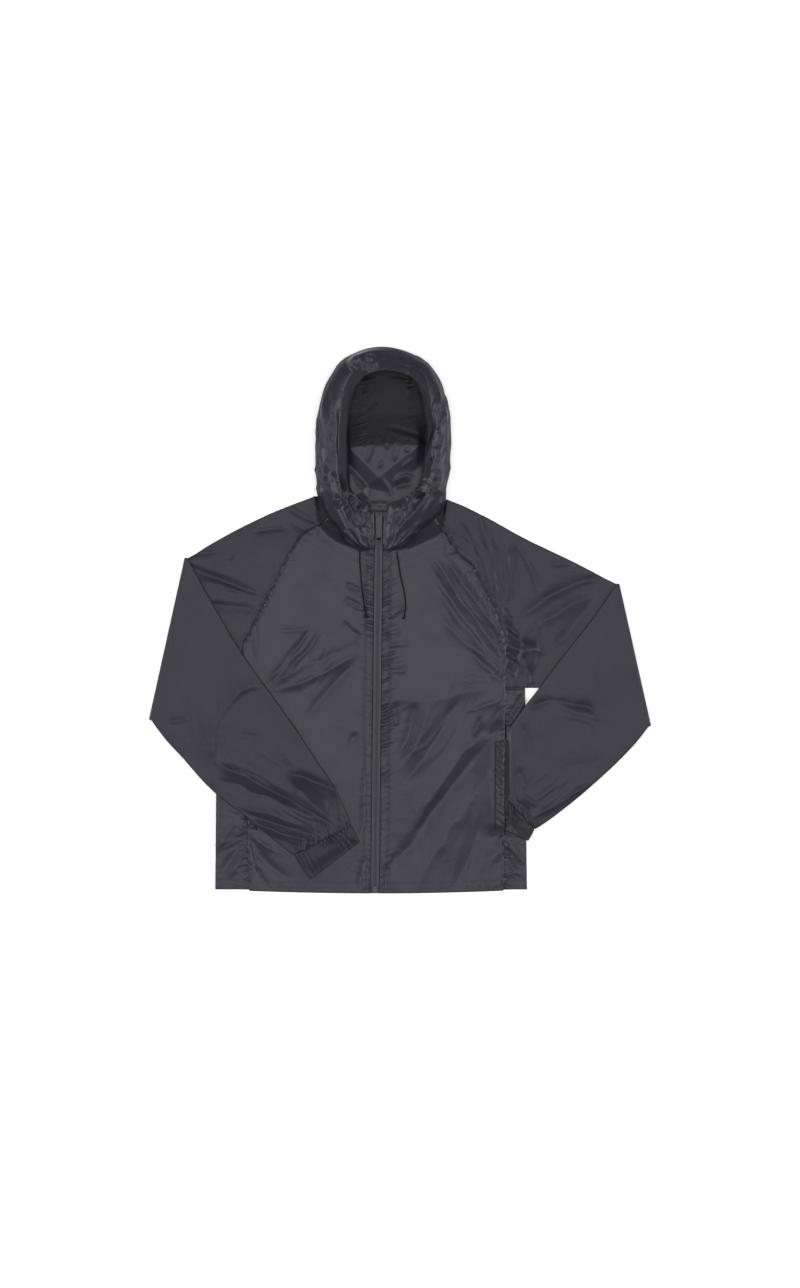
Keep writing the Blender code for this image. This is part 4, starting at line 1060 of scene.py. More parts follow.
# Darker copy of the shell as painted shade: on the channel round the face opening and where the fronts sink
# under the hood.
CHANNEL_AND_NECK_SHADE = nylon("facing", 0.8, 0.55, 0.0, 0.2, 0.2)
CUFF_CLOTH = nylon("cuff", 0.75, 0.4, 0.04, 0.25, 0.24)
TAPE_CLOTH = woven("zip_tape_weave", (0.033, 0.0315, 0.040), 0.6, 0.2, 0.7, 0.1)
THREAD = grained("thread", (0.024, 0.023, 0.028), 0.5, sheen=0.1)
COIL_PLASTIC = grained("coil_plastic", (0.043, 0.041, 0.052), 0.4)
METAL = grained("zip_metal_paint", (0.055, 0.055, 0.06), 0.4, metallic=0.75)
TAB_METAL = grained("tab_metal_paint", (0.066, 0.064, 0.072), 0.45, metallic=0.75)
# Near-black finish of the plate across the tab's lower end: painted shadow of that end.
TAB_END_SHADOW = grained("tab_end_painted_shadow", (0.004, 0.004, 0.005), 0.9, specular=0.1)
CORD_BRAID = braided("cord_braid", (0.009, 0.0082, 0.012))


# ---------------------------------------------------------------- stitches

STITCH_LENGTH = 2.6
STITCH_PITCH = 3.6
STITCH_WIDTH = 0.5
STITCH_RISE = 0.12           # above the cloth
STITCH_FACES = ((0, 1, 2), (0, 2, 3), (1, 4, 5, 2), (2, 5, 6, 3), (7, 5, 4), (7, 6, 5), (0, 3, 6, 7, 4, 1))


def stitching(name, lines, length=STITCH_LENGTH, pitch=STITCH_PITCH, width=STITCH_WIDTH):
    """Short raised stitches, laid on the cloth along lines of points."""
    points, faces = [], []
    for line in lines:
        line = line + np.array([0.0, 0.0, STITCH_RISE])
        marks = running(line)
        for number in range(int(marks[-1] / pitch)):
            ends = number * pitch + 0.5 * (pitch - length) + np.array([0.0, 0.2, 0.8, 1.0]) * length
            place = on_line(line, marks, ends)
            run = unit(place[-1] - place[0])
            side = np.array([-run[1], run[0], 0.0]) * width / 2
            top = np.array([0.0, 0.0, 0.6 * width])
            faces += [[len(points) + index for index in face[::-1]] for face in STITCH_FACES]
            points += [place[0], place[1] - side, place[1] + top, place[1] + side,
                       place[2] - side, place[2] + top, place[2] + side, place[3]]
    bind(mesh_object(name, points, faces, [THREAD]), JACKET)


# ---------------------------------------------------------------- body panels

FRONT_WIDTH = 232.0
SIDE_LENGTH = 358.0
SIDE_BEND_STEPS = 6
BACK_LENGTH = 745.0
BACK_WIDTH = 467.0
FRONT_SEED = {"right": 100, "left": 200}
SIDE_SEED = {"right": 400, "left": 450}
WELT_SEED = {"right": 501, "left": 521}
NECK_SHADE_FROM_ZIP = 24.0         # painted shade under the hood starts this far from the zip, beside the zip's facing
PLACKET = 15.0               # stitch line of the zip facing, from the front's edge
HEM_BACK = 16.0              # of the hem's fold, and its stitch line from the edge
CALM_FROM = {"right": (115.0, 205.0), "left": (290.0, 370.0)}     # the facing is smoother down the zip
DASHED_TO = {"right": (300.0, 345.0), "left": (400.0, 450.0)}
DASH_REACH = {"right": 11.0, "left": 30.0}
DASH_DEPTH = 2.9
ZIP_EDGE_SHADE = 1.6               # of the front's edge beside the tape, painted darker as the fold's shadow line


def panel_edge(side, first):
    """Edge of a front or the back from a vertex of the sleeve's seam to the hem, with its corners."""
    points = SEAM[side][first:UNDERARM_VERTEX + 1] + ((SIDE_SEAM_HEM_X[side], HEM_SIDE_Y),)
    corners = [vertex - first for vertex in (NECK_VERTEX, UNDERARM_VERTEX) if vertex > first]
    return np.array(points, float), corners


def hem_line(start, end, shares):
    """Plan points of a panel's hem between the ends of its side edges."""
    x = mix(start[0], end[0], shares)
    line = np.stack([x, hem_y(x)], axis=1)
    line[0], line[-1] = start, end
    return line


def ruching(side, from_zip, down_zip):
    """Gathers of the zip's facing, and the dashes that are drawn in across it."""
    seed = FRONT_SEED[side]
    from_line = from_zip - PLACKET
    inside_band = fading(PLACKET - 1.0, PLACKET + 1.0, from_zip)
    outside_band = (1.0 - inside_band) * np.exp(-np.maximum(from_line, 0.0) / 13.0)
    tilted = down_zip + 0.25 * from_zip
    bold = 0.3 + 0.7 * smooth(-0.4, 0.5, noise(down_zip / 60.0, 0.5, seed + 3))
    calm = smooth(*CALM_FROM[side], down_zip)
    ruched = 0.7 * inside_band * gathers(tilted, from_zip, 14.0, seed)
    ruched += 0.8 * outside_band * gathers(tilted, from_zip, 16.0, seed + 4)
    ruched = ruched * bold * mix(1.0, 0.22, calm)
    ruched += mix(0.5, 0.3, calm) * drawn_up("placket", from_line, down_zip, seed)
    ruched += drawn_up("front_edge", from_zip - 3.0, down_zip, seed)
    drawn_in = fading(*DASHED_TO[side], down_zip)
    drawn_in = drawn_in * mix(1.0, np.exp(-from_zip / DASH_REACH[side]), calm)
    depth = DASH_DEPTH * (inside_band + 0.5 * outside_band) * drawn_in
    return ruched - depth * dashes(tilted, from_zip, 11.0, seed + 11)


def front_grid(side):
    """A front, from the zip to the sleeve's seam and the side panel."""
    turn, seed = OUTWARD[side], FRONT_SEED[side]
    outer_points, corners = panel_edge(side, NECK_VERTEX)
    rows = spread(running(outer_points)[-1], "front_rows")
    columns = spread(FRONT_WIDTH, "front_columns")
    outer = sideways(drawn(outer_points, rows, corners), turn * 0.15)
    top = drawn(np.array(NECKLINE[side], float)[::-1], columns)
    zip_y = mix(NECK_EDGE_Y, HEM_MIDDLE_Y, rows)
    inner = np.stack([zip_x(zip_y) + turn * FRONT_FROM_ZIP, zip_y], axis=1)
    top += (1.0 - columns[:, None]) * (inner[0] - top[0]) + columns[:, None] * (outer[0] - top[-1])
    flat = coons(top, hem_line(inner[-1], outer[-1], columns), inner, outer, columns, rows)
    edges = edge_distances(flat)
    from_zip, down_zip = edges["left"]
    height = front_height(side, flat[..., 0], flat[..., 1])
    height += ruching(side, from_zip, down_zip) * smooth(0.0, 12.0, edges["top"][0])
    height += drawn_up("front_side", *edges["right"], seed)
    height += drawn_up("front_hem", *edges["bottom"], seed)
    height += seam_groove(edges["right"][0]) + 0.15 * seam_groove(edges["bottom"][0] - HEM_BACK, 0.5)
    height -= dent(from_zip - PLACKET, 0.8, 1.5) + dent(from_zip, 0.7, 1.6)
    return lifted(flat, height)


def finished_front(points):
    """A front with its hem and its three other edges turned under."""
    hemmed = turned(points, "bottom", 0.7, HEM_BACK)
    zipped = turned(hemmed, "left", 0.5)
    return turned(turned(zipped, "right", 0.8), "top", 0.8)


def back_grid():
    """The back, flat but for its upper part, which shows inside the hood."""
    edges = []
    down = spread(BACK_LENGTH, "back_rows")
    for side, turn in OUTWARD.items():
        points, corners = panel_edge(side, 0)
        edges.append(sideways(drawn(points, down, corners), turn * 0.3))
    arch = [(row.in_x, row.in_y) for row in HOOD["right"][HOOD_BACK_ROWS:HOOD_FLOOR_ROWS - 1:-1]]
    arch += [(row.in_x, row.in_y) for row in HOOD["left"][HOOD_FLOOR_ROWS:HOOD_BACK_ROWS + 1]]
    across = spread(BACK_WIDTH, "back_columns")
    top = drawn([edges[0][0]] + arch + [edges[1][0]], across)
    x, y = top[1:-1].T
    beside = smooth(*NECK_SIDE_REACH, np.abs(x - NECK_V_X))
    y += mix(*NECK_TUCK, beside)
    x += NECK_SIDE_TUCK * beside * np.sign(x - NECK_V_X) * smooth(*NECK_SIDE_Y, y)
    flat = coons(top, hem_line(edges[0][-1], edges[1][-1], across), *edges, across, down)
    x, y = flat[..., 0], flat[..., 1]
    distances = edge_distances(flat)
    in_hood = smooth(*IN_HOOD_Y, y) * fading(*IN_HOOD_REACH, np.abs(x - NECK_V_X))
    from_seam = distances["top"][0]
    folds = 2.1 * smooth(0.0, 5.0, from_seam) - 1.2 + 0.6 * crumple(x, y, 31) + inside_height(x, y)
    folds += drawn_up("back_neck", *distances["top"]) * smooth(0.0, 3.0, from_seam)
    height = 0.9 + in_hood * (1.0 + folds)
    return lifted(flat, at_least(0.5, height))


def inside_height(x, y):
    """Folds of the cloth seen through the face opening: a flat V below the neck seam, and creases."""
    fold = NECK_V_HEIGHT
    for row in NECK_V_SIDES:
        run = unit(np.array([row.x1 - row.x0, row.y1 - row.y0], float))
        beyond = (x - row.x0) * run[1] - (y - row.y0) * run[0]
        fold = fold - row.slope * np.clip(beyond, 0.0, row.reach)
        fold = fold + row.rise * np.clip(beyond - row.reach, 0.0, NECK_V_RISE)
    fade = fading(*NECK_V_REACH, np.abs(x - NECK_V_X)) * smooth(*NECK_V_Y, y)
    return crease_height(INSIDE_CREASES, x, y) + 0.5 * (fold + np.hypot(fold, NECK_V_SOFT)) * fade


def side_grid(side):
    """A side panel: lower layer, turned outer edge and upper layer."""
    start = np.array(SEAM[side][UNDERARM_VERTEX], float)
    end = np.array([SIDE_SEAM_HEM_X[side], HEM_SIDE_Y])
    rows = spread(SIDE_LENGTH, "panel_rows")
    inner = mix(start, end, rows[:, None])
    top, low = np.array(SIDE_EDGE[side], float)
    outline = mix(top, low, rows[:, None])
    outward = unit(outline - inner)
    radius = (BODY_Z - FLOOR_Z) / 2
    edge = outline - outward * radius
    columns = spread(np.linalg.norm(edge - inner, axis=1).mean(), "panel_columns")
    flat = mix(inner[:, None], edge[:, None], columns[None, :, None])
    height = side_height(side, flat[..., 0], flat[..., 1])
    edges = edge_distances(flat)
    seed = SIDE_SEED[side]
    height += drawn_up("panel_seam", *edges["left"], seed) + seam_groove(edges["left"][0])
    height += drawn_up("panel_hem", *edges["bottom"], seed)
    height += drawn_up("panel_fold", *edges["right"], seed)
    height += 0.2 * seam_groove(edges["bottom"][0] - HEM_BACK, 0.5)
    height -= dent(edges["top"][0], 1.2, 3.0)
    flat[0, :, 1] += 1.5
    upper = lifted(flat, height)
    lower = lifted(flat, np.full(height.shape, FLOOR_Z))
    lower[0, :, 2] += 0.8
    away = np.concatenate([outward, np.zeros((len(rows), 1))], axis=1)
    bend = half_round(upper[:, -1], lower[:, -1], away, SIDE_BEND_STEPS)
    points = np.concatenate([lower[:, ::4], bend, upper[:, ::-1]], axis=1)
    return points, upper


WELT_TOP_Y = -212.0
WELT_LOW_Y = -370.0
WELT_WIDTH = 18.5
WELT_PLEAT = 12.5            # between two gathers
EDGE_SHADE_COLUMNS = 2             # of a welt, at its outer edge, painted darker as the edge's shadow line
FACING_STRIP_Y = (-356.0, -338.0, -216.0, -212.0)
FACING_STRIP = (7.5, 6.6, 5.4, 4.2, 3.0, 1.8, 0.8)          # columns, from the welt's edge
BARTACKS = ((2, 0.0), (3, 0.1), (-3, 0.0), (-2, 0.1))       # row of the welt, and height above it


def welt_grid(side, front):
    """Ruched strip of the pocket, laid on the front along its side seam."""
    y, seed = front[:, -1, 1], WELT_SEED[side]
    mouth = (y < WELT_TOP_Y) & (y > WELT_LOW_Y)
    from_seam = edge_distances(front[..., :2])["right"][0]
    marks = np.linspace(0.0, WELT_WIDTH, 14)
    grid = np.array([on_line(row[::-1], away[::-1], marks)
                     for row, away in zip(front[mouth], from_seam[mouth])])
    along, across = running(grid), marks[None, :]
    bulge = np.sin(math.pi * across / WELT_WIDTH) ** 0.5
    patchy = 0.35 + 0.65 * smooth(-0.5, 0.4, noise(along / 45.0, 0.5, seed + 6))
    pleat = patchy * gathers(along + 1.2 * across, across, WELT_PLEAT, seed)
    ends = smooth(0.0, 3.0, np.minimum(along, along[-1:] - along))
    grid[..., 2] += PITCH * 0.75 + ends * bulge * (1.3 + 1.7 * pleat)
    return grid


def pocket_facing(welt):
    """Narrow strip beside the left welt: it goes down into the pocket, over the sleeve tucked in there."""
    offsets = np.array(FACING_STRIP)[None, :]
    width = 0.12 + 0.88 * window(FACING_STRIP_Y, welt[:, :1, 1])
    x = welt[:, :1, 0] + offsets * width
    y = np.broadcast_to(welt[:, :1, 1], x.shape)
    over = forearm_height("left", x, y)[1] + 0.7
    z = mix(welt[:, :1, 2], over, smooth(0.0, 2.2, offsets * width))
    return np.stack([x, y, z], axis=2)


def hood_shade_faces(points, ring=False):
    """Mask of the faces where the cloth sinks towards the hood, which get painted shade."""
    x, y = points[..., 0], points[..., 1]
    chosen = (past_neck_line(x, y) > 0.0) & (np.abs(x - zip_x(y)) > NECK_SHADE_FROM_ZIP)
    return chosen[1:] if ring else chosen[1:, 1:]


def zip_edge_shade_faces(points):
    """Mask of the faces of the front's folded edge beside the zip tape, which get a painted shadow line."""
    chosen = np.abs(points[..., 0] - zip_x(points[..., 1])) < FRONT_FROM_ZIP + ZIP_EDGE_SHADE
    return chosen[1:, 1:]


def build_welt(side, welt):
    """A pocket's ruched strip with its edges turned under, and the facing beside the left one."""
    first = 0
    if side == "left":
        first = len(FACING_STRIP)
        welt = np.concatenate([pocket_facing(welt), welt], axis=1)
    else:
        welt = turned(welt, "left", 0.9)
    welt = turned(welt, "right", 0.9)
    ended = turned(turned(welt, "top", 0.8), "bottom", 0.8)
    # Painted shade: the strip down into the left pocket is the inner face darkened as the pocket mouth's
    # shade, and the welt's outer edge gets a painted shadow line.
    mouth_and_edge_shade = np.zeros(ended.shape[:2], bool)
    mouth_and_edge_shade[:, :first] = True
    mouth_and_edge_shade[:, -EDGE_SHADE_COLUMNS - TURN_STEPS:] = True
    cloth("pocket_welt_" + side, ended, SHELL, flip=side == "right", areas=((INSIDE_AND_PAINTED_SHADE, mouth_and_edge_shade[1:, 1:]),))


def build_body():
    """Back, fronts, side panels and pocket welts; the fronts' grids are given back."""
    hemmed = turned(back_grid(), "bottom", 0.3, HEM_BACK, under=1.0)
    cloth("back_panel", hemmed, SHELL, flip=True)
    fronts = {}
    for side in OUTWARD:
        flip = side == "left"
        front = front_grid(side)
        finished = finished_front(front)
        # Painted shade on the fronts: darker cloth where they sink under the hood, and a shadow line on the
        # folded edge beside the zip tape.
        cloth("front_" + side, finished, SHELL, flip=flip,
              areas=((CHANNEL_AND_NECK_SHADE, hood_shade_faces(finished)), (INSIDE_AND_PAINTED_SHADE, zip_edge_shade_faces(finished))))
        panel, upper = side_grid(side)
        cloth("side_panel_" + side, turned(panel, "bottom", 0.5), SHELL, flip=flip)
        welt = welt_grid(side, front)
        build_welt(side, welt)
        lines = [inset_line(front, edge, inset)
                 for edge, inset in (("left", PLACKET), ("left", 2.0), ("right", 6.0), ("bottom", HEM_BACK))]
        stitching("stitching_front_" + side, lines + [inset_line(upper, "bottom", HEM_BACK)])
        tacks = [welt[row] + np.array([0.0, 0.0, rise]) for row, rise in BARTACKS]
        stitching("bartack_" + side, tacks, length=1.6, pitch=1.7, width=0.6)
        fronts[side] = front
    return fronts


# ---------------------------------------------------------------- sleeves and cuffs

FOLD_RADIUS = (FOREARM_TOP_Z - FLOOR_Z) / 2
INNER_RADIUS = (FOREARM_LOW_Z - BODY_Z) / 2
FOLD_STEPS = 14
CAP_STEPS = 7
SLEEVE_WIDTH = 300.0
CUFF_PLAIN = {"right": 0.6, "left": 0.12}   # share of the pleats' height on the plain part
CUFF_FALL = {"right": 2.8, "left": 1.2}     # of the cuff's end
CUFF_PLEAT = 8.6             # between two gathers
CUFF_INSET = 1.95            # of the layers' edges from the outline
CUFF_COLUMNS = 120
CUFF_HEM = (0.7, 12.0)       # radius of the turned end, and how far it goes back


def tube(lower, upper):
    """Closed sections round two layers of points, and the middle of the tube at each point."""
    middle = (lower + upper) / 2
    sections, centres = [lower], [middle]
    for index, inner in ((-1, -2), (0, 1)):
        away = unit((middle[:, index] - middle[:, inner]) * PLAN)
        first, second = (upper, lower) if index else (lower, upper)
        sections.append(half_round(first[:, index], second[:, index], away, CAP_STEPS))
        centres += [middle[:, index][:, None]] * CAP_STEPS
        if index:
            sections.append(upper[:, ::-1])
            centres.append(middle[:, ::-1])
    return np.concatenate(sections, axis=1), np.concatenate(centres, axis=1)


def floor_height(x, y):
    """The sleeves' lower layer, which lies unevenly on the surface."""
    return FLOOR_Z + 0.5 * np.abs(noise(x / 28.0, y / 37.0, 61)) + 0.25 * np.abs(noise(x / 9.0, y / 14.0, 62))


def across_sleeve(marks, tops, lows, at, shares, inset):
    """Plan points between a sleeve's two edges, kept inside them by the inset, and their shares."""
    top, low = flowing(marks, tops, at), flowing(marks, lows, at)
    margin = (inset / np.linalg.norm(low - top, axis=-1))[:, None]
    inner = margin + shares[None, :] * (1.0 - 2.0 * margin)
    return mix(top[:, None], low[:, None], inner[..., None]), inner


def forearm_layers(side, lines):
    """The folded forearm's lower and upper layer over plan points."""
    return [lifted(lines, height) for height in forearm_height(side, lines[..., 0], lines[..., 1])]


def elbow_fold(side, line, outward, radius, start_height, layer):
    """Rows that carry a layer over the elbow, up to the forearm's lower (0) or upper (1) layer."""
    rows = []
    for angle in np.linspace(0.0, math.pi, FOLD_STEPS + 1)[1:]:
        place = line + outward * radius * math.sin(angle)
        start, end = start_height(*place.T), forearm_height(side, *place.T)[layer]
        rows.append(np.column_stack([place, mix(start, end, 0.5 - 0.5 * math.cos(angle))]))
    return np.array(rows)


def sleeve_layers(side):
    """Lower and upper layer of a sleeve, from the seam over the elbow to the cuff."""
    turn = OUTWARD[side]
    seam = np.array(SEAM[side], float)
    shares = spread(SLEEVE_WIDTH, "sleeve_columns")
    elbow = np.array(UPPER[side][-1][1:], float).reshape(2, 2)
    run = unit(elbow[1] - elbow[0])
    outward = np.array([-run[1], run[0]]) * turn
    fold = elbow - outward * FOLD_RADIUS

    marks = [0.0] + [row.share for row in UPPER[side]]
    tops = [seam[0]] + [(row.top_x, row.top_y) for row in UPPER[side][:-1]] + [fold[0]]
    lows = [seam[-1]] + [(row.low_x, row.low_y) for row in UPPER[side][:-1]] + [fold[1]]
    length = np.linalg.norm(fold.mean(axis=0) - seam[[0, -1]].mean(axis=0))
    u = spread(length, "sleeve_rows")
    lines, inner = across_sleeve(marks, tops, lows, u, shares, mix(1.5, 2.5, u))
    curve = drawn(seam, inner[0], (NECK_VERTEX, UNDERARM_VERTEX))
    departure = curve - mix(seam[0], seam[-1], inner[0][:, None])
    lines = lines + departure[None] * ((1.0 - u) ** 4)[:, None, None]
    lines[0] = sideways(lines[0], -0.15 * turn)
    x, y = lines[..., 0], lines[..., 1]
    upper = lifted(lines, body_height(x, y))
    lower = lifted(lines, floor_height(x, y))
    away, along = running(upper), running_across(upper)
    upper[..., 2] += drawn_up("raglan_above", away, along) + seam_groove(away)
    lower[..., 2] += np.maximum(drawn_up("raglan_below", away, along), 0.0)

    fold_low = elbow_fold(side, lines[-1], outward, FOLD_RADIUS, floor_height, 1)
    fold_up = elbow_fold(side, lines[-1], outward, INNER_RADIUS, body_height, 0)

    rows = np.array(FOREARM[side], float)
    tops, lows = rows[:, :2].copy(), rows[:, 2:].copy()
    tops[0], lows[0] = fold
    marks = running((tops + lows) / 2)
    v = spread(marks[-1], "forearm_rows")[1:] * marks[-1]
    inset = mix(2.5, CUFF_INSET, smooth(0.0, 40.0, v))
    lines, _inner = across_sleeve(marks, tops, lows, v, shares, inset)
    nearer, outer = forearm_layers(side, lines)
    run, along = running(outer), running_across(outer)
    to_cuff = run[-1:] - run
    outer[..., 2] += drawn_up("cuff_seam", to_cuff, along) + seam_groove(to_cuff)
    return np.concatenate([lower, fold_low, outer]), np.concatenate([upper, fold_up, nearer])


def cuff_grid(side):
    """A cuff gathered over its elastic, with its end turned in."""
    rows = np.array(CUFF[side], float)
    tops, lows = rows[:, :2], rows[:, 2:]
    marks = running((tops + lows) / 2)
    v = spread(marks[-1], "cuff_rows") * marks[-1]
    shares = np.linspace(0.0, 1.0, CUFF_COLUMNS)
    lines, _inner = across_sleeve(marks, tops, lows, v, shares, np.full(len(v), CUFF_INSET))
    nearer, outer = forearm_layers(side, lines)
    away, along = running(outer), running_across(outer)
    patchy = mix(0.12, 1.0, smooth(-0.2, 0.6, noise(along / 24.0, away / 30.0, 637)))
    patchy = patchy * mix(CUFF_PLAIN[side], 1.0, window((0.0, 6.0, 40.0, 62.0), along))
    wave = patchy * gathers(along + 1.5 * noise(along / 20.0, away / 14.0, 635), away, CUFF_PLEAT, 631)
    even = smooth(0.0, 8.0, np.minimum(along, along[:, -1:] - along))
    to_end = marks[-1] - v[:, None]
    far_half = fading(0.0, 0.55 * marks[-1], to_end)
    bulge = 0.6 + 1.4 * wave * mix(1.0, 0.2, far_half) + seam_groove(away, 0.6)
    outer[..., 2] += even * (bulge - CUFF_FALL[side] * far_half)
    nearer[..., 2] += even * 0.4 * wave
    run = unit((lines[-1] - lines[-2]).mean(axis=0))
    shift = 0.7 * wave[-1] * smooth(marks[-1] - 8.0, marks[-1], v)[:, None]
    outer[..., :2] += shift[..., None] * run
    ring, centres = tube(outer, nearer)
    return hemmed_ring(ring, centres[-1], *CUFF_HEM)


def hemmed_ring(ring, centre, radius, back):
    """The end of a tube turned in on itself."""
    end = ring[-1]
    outward = unit(ring[-1] - ring[-3])
    inward = unit(centre - end)
    rows = [end + outward * radius * math.sin(angle) + inward * radius * (1.0 - math.cos(angle))
            for angle in np.linspace(0.0, math.pi, TURN_STEPS + 1)[1:]]
    rows += [rows[-1] - outward * back * share for share in (0.33, 0.66, 1.0)]
    return np.concatenate([ring, np.array(rows)])


def build_sleeves():
    """Sleeves as closed flat tubes, and their cuffs."""
    for side in OUTWARD:
        flip = side == "left"
        ring, _centres = tube(*sleeve_layers(side))
        # Painted shade: darker cloth where the sleeve sinks under the hood.
        cloth("sleeve_" + side, ring, SLEEVE_CLOTH, ring=True, flip=flip,
              areas=((INSIDE_AND_PAINTED_SHADE, hood_shade_faces(ring, ring=True)),))
        cloth("cuff_" + side, cuff_grid(side), CUFF_CLOTH, ring=True, flip=flip)


# ---------------------------------------------------------------- hood

HEM_DEPTH = 19.0             # of the channel round the face opening
HOOD_HEM = (0.7, HEM_DEPTH - 2.0)           # radius of its turned edge, and how far it goes back
CALM_Y = {"right": (262.0, 290.0), "left": (350.0, 380.0)}        # the channel is smooth above
GATHERED_Y = (190.0, 300.0)  # and gathered below
BUNCH = table("x y reach_x reach_y height", (-66, 455, 30, 22, 46.5))[0]
# The channel round the face opening gets painted shade above these heights along y.
CHANNEL_SHADE_Y = {"right": 226.0, "left": 250.0}
RIM_COLUMN = 4.2             # the wall below this column of the roll gets painted shade
ROLL_END = len(ROLL) - 1     # column where the floor part starts
CREASED_COLUMNS = (5.0, 7.5)                # of the roll, over which the creases end
WALL_COLUMNS = (4.0, 5.5, 7.6, 8.0)         # over which the crumples of the wall come and go
BUNCH_COLUMNS = (4.4, 5.0)
FLOOR_COLUMNS = (8.0, 9.0)
HOOD_SEED = {"right": 700, "left": 750}
HOOD_LOW_Z = 0.3
OUTLINE_COLUMN = 5
ROOF = 8                     # rows or columns of a dense grid, from the face opening, that look up
CROWN_ROWS = 4.0             # over which the crown's steeper section turns into the roll
CROWN = ((0.00, None), (0.19, 0.92), (0.38, 0.87), (0.62, 0.78), (0.87, 0.62),
         (0.985, 0.44), (1.00, 0.28), (0.96, 0.10), (0.88, 0.00))
NECK_SEAM_Z = 1.8            # where the hood joins the body, under its edge
HoodSide = namedtuple("HoodSide", "grid down across marks")


def laid_height(x, y):
    """Height of the hood's lower edge over the sleeve and the front, which sink towards it."""
    return at_least(BODY_LOW_Z, BODY_Z + swell(x, y) - neck_dip(x, y)) + LAP


def hood_frame(side):
    """The hood side's own points: one section for each row of its table."""
    sections = []
    for index, row in enumerate(HOOD[side]):
        flattened = max(0.0, 1.0 - index / CROWN_ROWS)
        edge = np.array([row.edge_x, row.edge_y], float)
        out = np.array([row.out_x, row.out_y], float)
        section = []
        for (across, rise), (_across, crown_rise) in zip(ROLL, CROWN):
            place = mix(edge, out, across)
            rise = None if rise is None else mix(rise, crown_rise, flattened)
            base = FLOOR_Z
            if index == HOOD_LIFT_ROW:
                base = HOOD_LIFT_Z
            elif index > HOOD_LIFT_ROW:
                base = laid_height(*place)
            height = row.edge_z if rise is None else mix(base, row.crest_z, rise)
            section.append((place[0], place[1], height))
        start = np.array(section[-1])
        for step in range(1, FLOOR_STEPS + 1):
            last = step == FLOOR_STEPS
            if index <= HOOD_LIFT_ROW:
                place = mix(start, np.array([row.in_x, row.in_y, start[2]]), step / FLOOR_STEPS)
                place[2] = min(place[2], NECK_SEAM_Z) if last else place[2]
            else:
                place = mix(edge, out, ROLL[-1][0] - LAP_SHARE * step / FLOOR_STEPS)
                place = (*place, NECK_SEAM_Z if last else laid_height(*place))
            section.append(tuple(place))
        sections.append(section)
    return np.array(sections)


def hood_marks(frame_points):
    """Row marks along the outline, and dense places between rows and columns."""
    marks = running(frame_points[:, OUTLINE_COLUMN])
    down = spread(marks[-1], "hood_rows") * marks[-1]
    lengths = np.linalg.norm(np.diff(frame_points[2:12], axis=1), axis=2).mean(axis=0)
    own = np.concatenate([[0.0], np.cumsum(lengths)])
    across = np.interp(spread(own[-1], "hood_columns") * own[-1], own, np.arange(len(own)))
    return marks, down, across


def bunched(x, y, height, share):
    """Cloth bunched up where the right crown seam meets the forehead hem."""
    away = np.hypot((x - BUNCH.x) / BUNCH.reach_x, (y - BUNCH.y) / BUNCH.reach_y)
    share = share * fading(0.62, 1.0, away)
    level = BUNCH.height + 1.7 * noise(x / 5.5, y / 13.0, 703) + 0.9 * noise(x / 4.5, y / 4.0, 707)
    return mix(height, level, share)


def channel(distance, rise, sink):
    """The hem's channel round the face opening, and the stitched line that closes it."""
    limits = (1.0, 4.0, HEM_DEPTH - 5.0, HEM_DEPTH - 1.0)
    return rise * window(limits, distance) - dent(distance - HEM_DEPTH, sink, 1.6)


def floor_lift(x, y, to_seam, along, gather, reach, seed):
    """Rise of the hood's floor part: the folds of the back neck, and gathers at its seam."""
    folds = 1.3 + np.abs(crumple(x, y, 31)) + np.maximum(inside_height(x, y), -1.5)
    return folds + np.maximum(gather * pucker(to_seam, along, 8.0, reach, seed), -1.0)


def hood_side_lift(side, grid, column_place):
    """How far a hood side stands out from its smooth shape, along its normals."""
    seed = HOOD_SEED[side]
    x, y, z = grid[..., 0], grid[..., 1], grid[..., 2]
    from_edge, along, from_crown = running_across(grid), running(grid[:, 3])[:, None], running(grid)
    on_roll = fading(*CREASED_COLUMNS, column_place)
    lift = crease_height(HOOD_CREASES, x, y) + fan_height(HOOD_FANS, x, y) + 0.8 * crumple(x, y, seed)
    lift = lift * on_roll
    wall = 1.5 * ridges(along / 26.0 + 0.02 * z, z / 34.0, seed + 1) + crumple(along, 2.0 * z, seed + 8)
    lift += window(WALL_COLUMNS, column_place) * wall
    lift += streak_height(HOOD_STREAKS, x, y) * on_roll
    lift += on_roll * drawn_up("crown_seam", from_crown, from_edge, seed)
    calm = fading(HEM_DEPTH - 3.0, HEM_DEPTH + 3.0, from_edge) * smooth(*CALM_Y[side], y)
    lift = lift * mix(1.0, 0.12, calm)
    lift += channel(from_edge, 0.7 * smooth(0.0, 40.0, from_crown), 0.7)
    gathered = fading(*GATHERED_Y, y)
    at_line = drawn_up("hood_channel", from_edge - HEM_DEPTH, along, seed)
    at_edge = drawn_up("hood_edge", from_edge, along, seed)
    lift += on_roll * (mix(0.2, 1.3, gathered) * at_line + gathered * at_edge)
    return lift * smooth(0.0, 16.0, from_crown) - dent(from_crown, 0.7, 2.2)


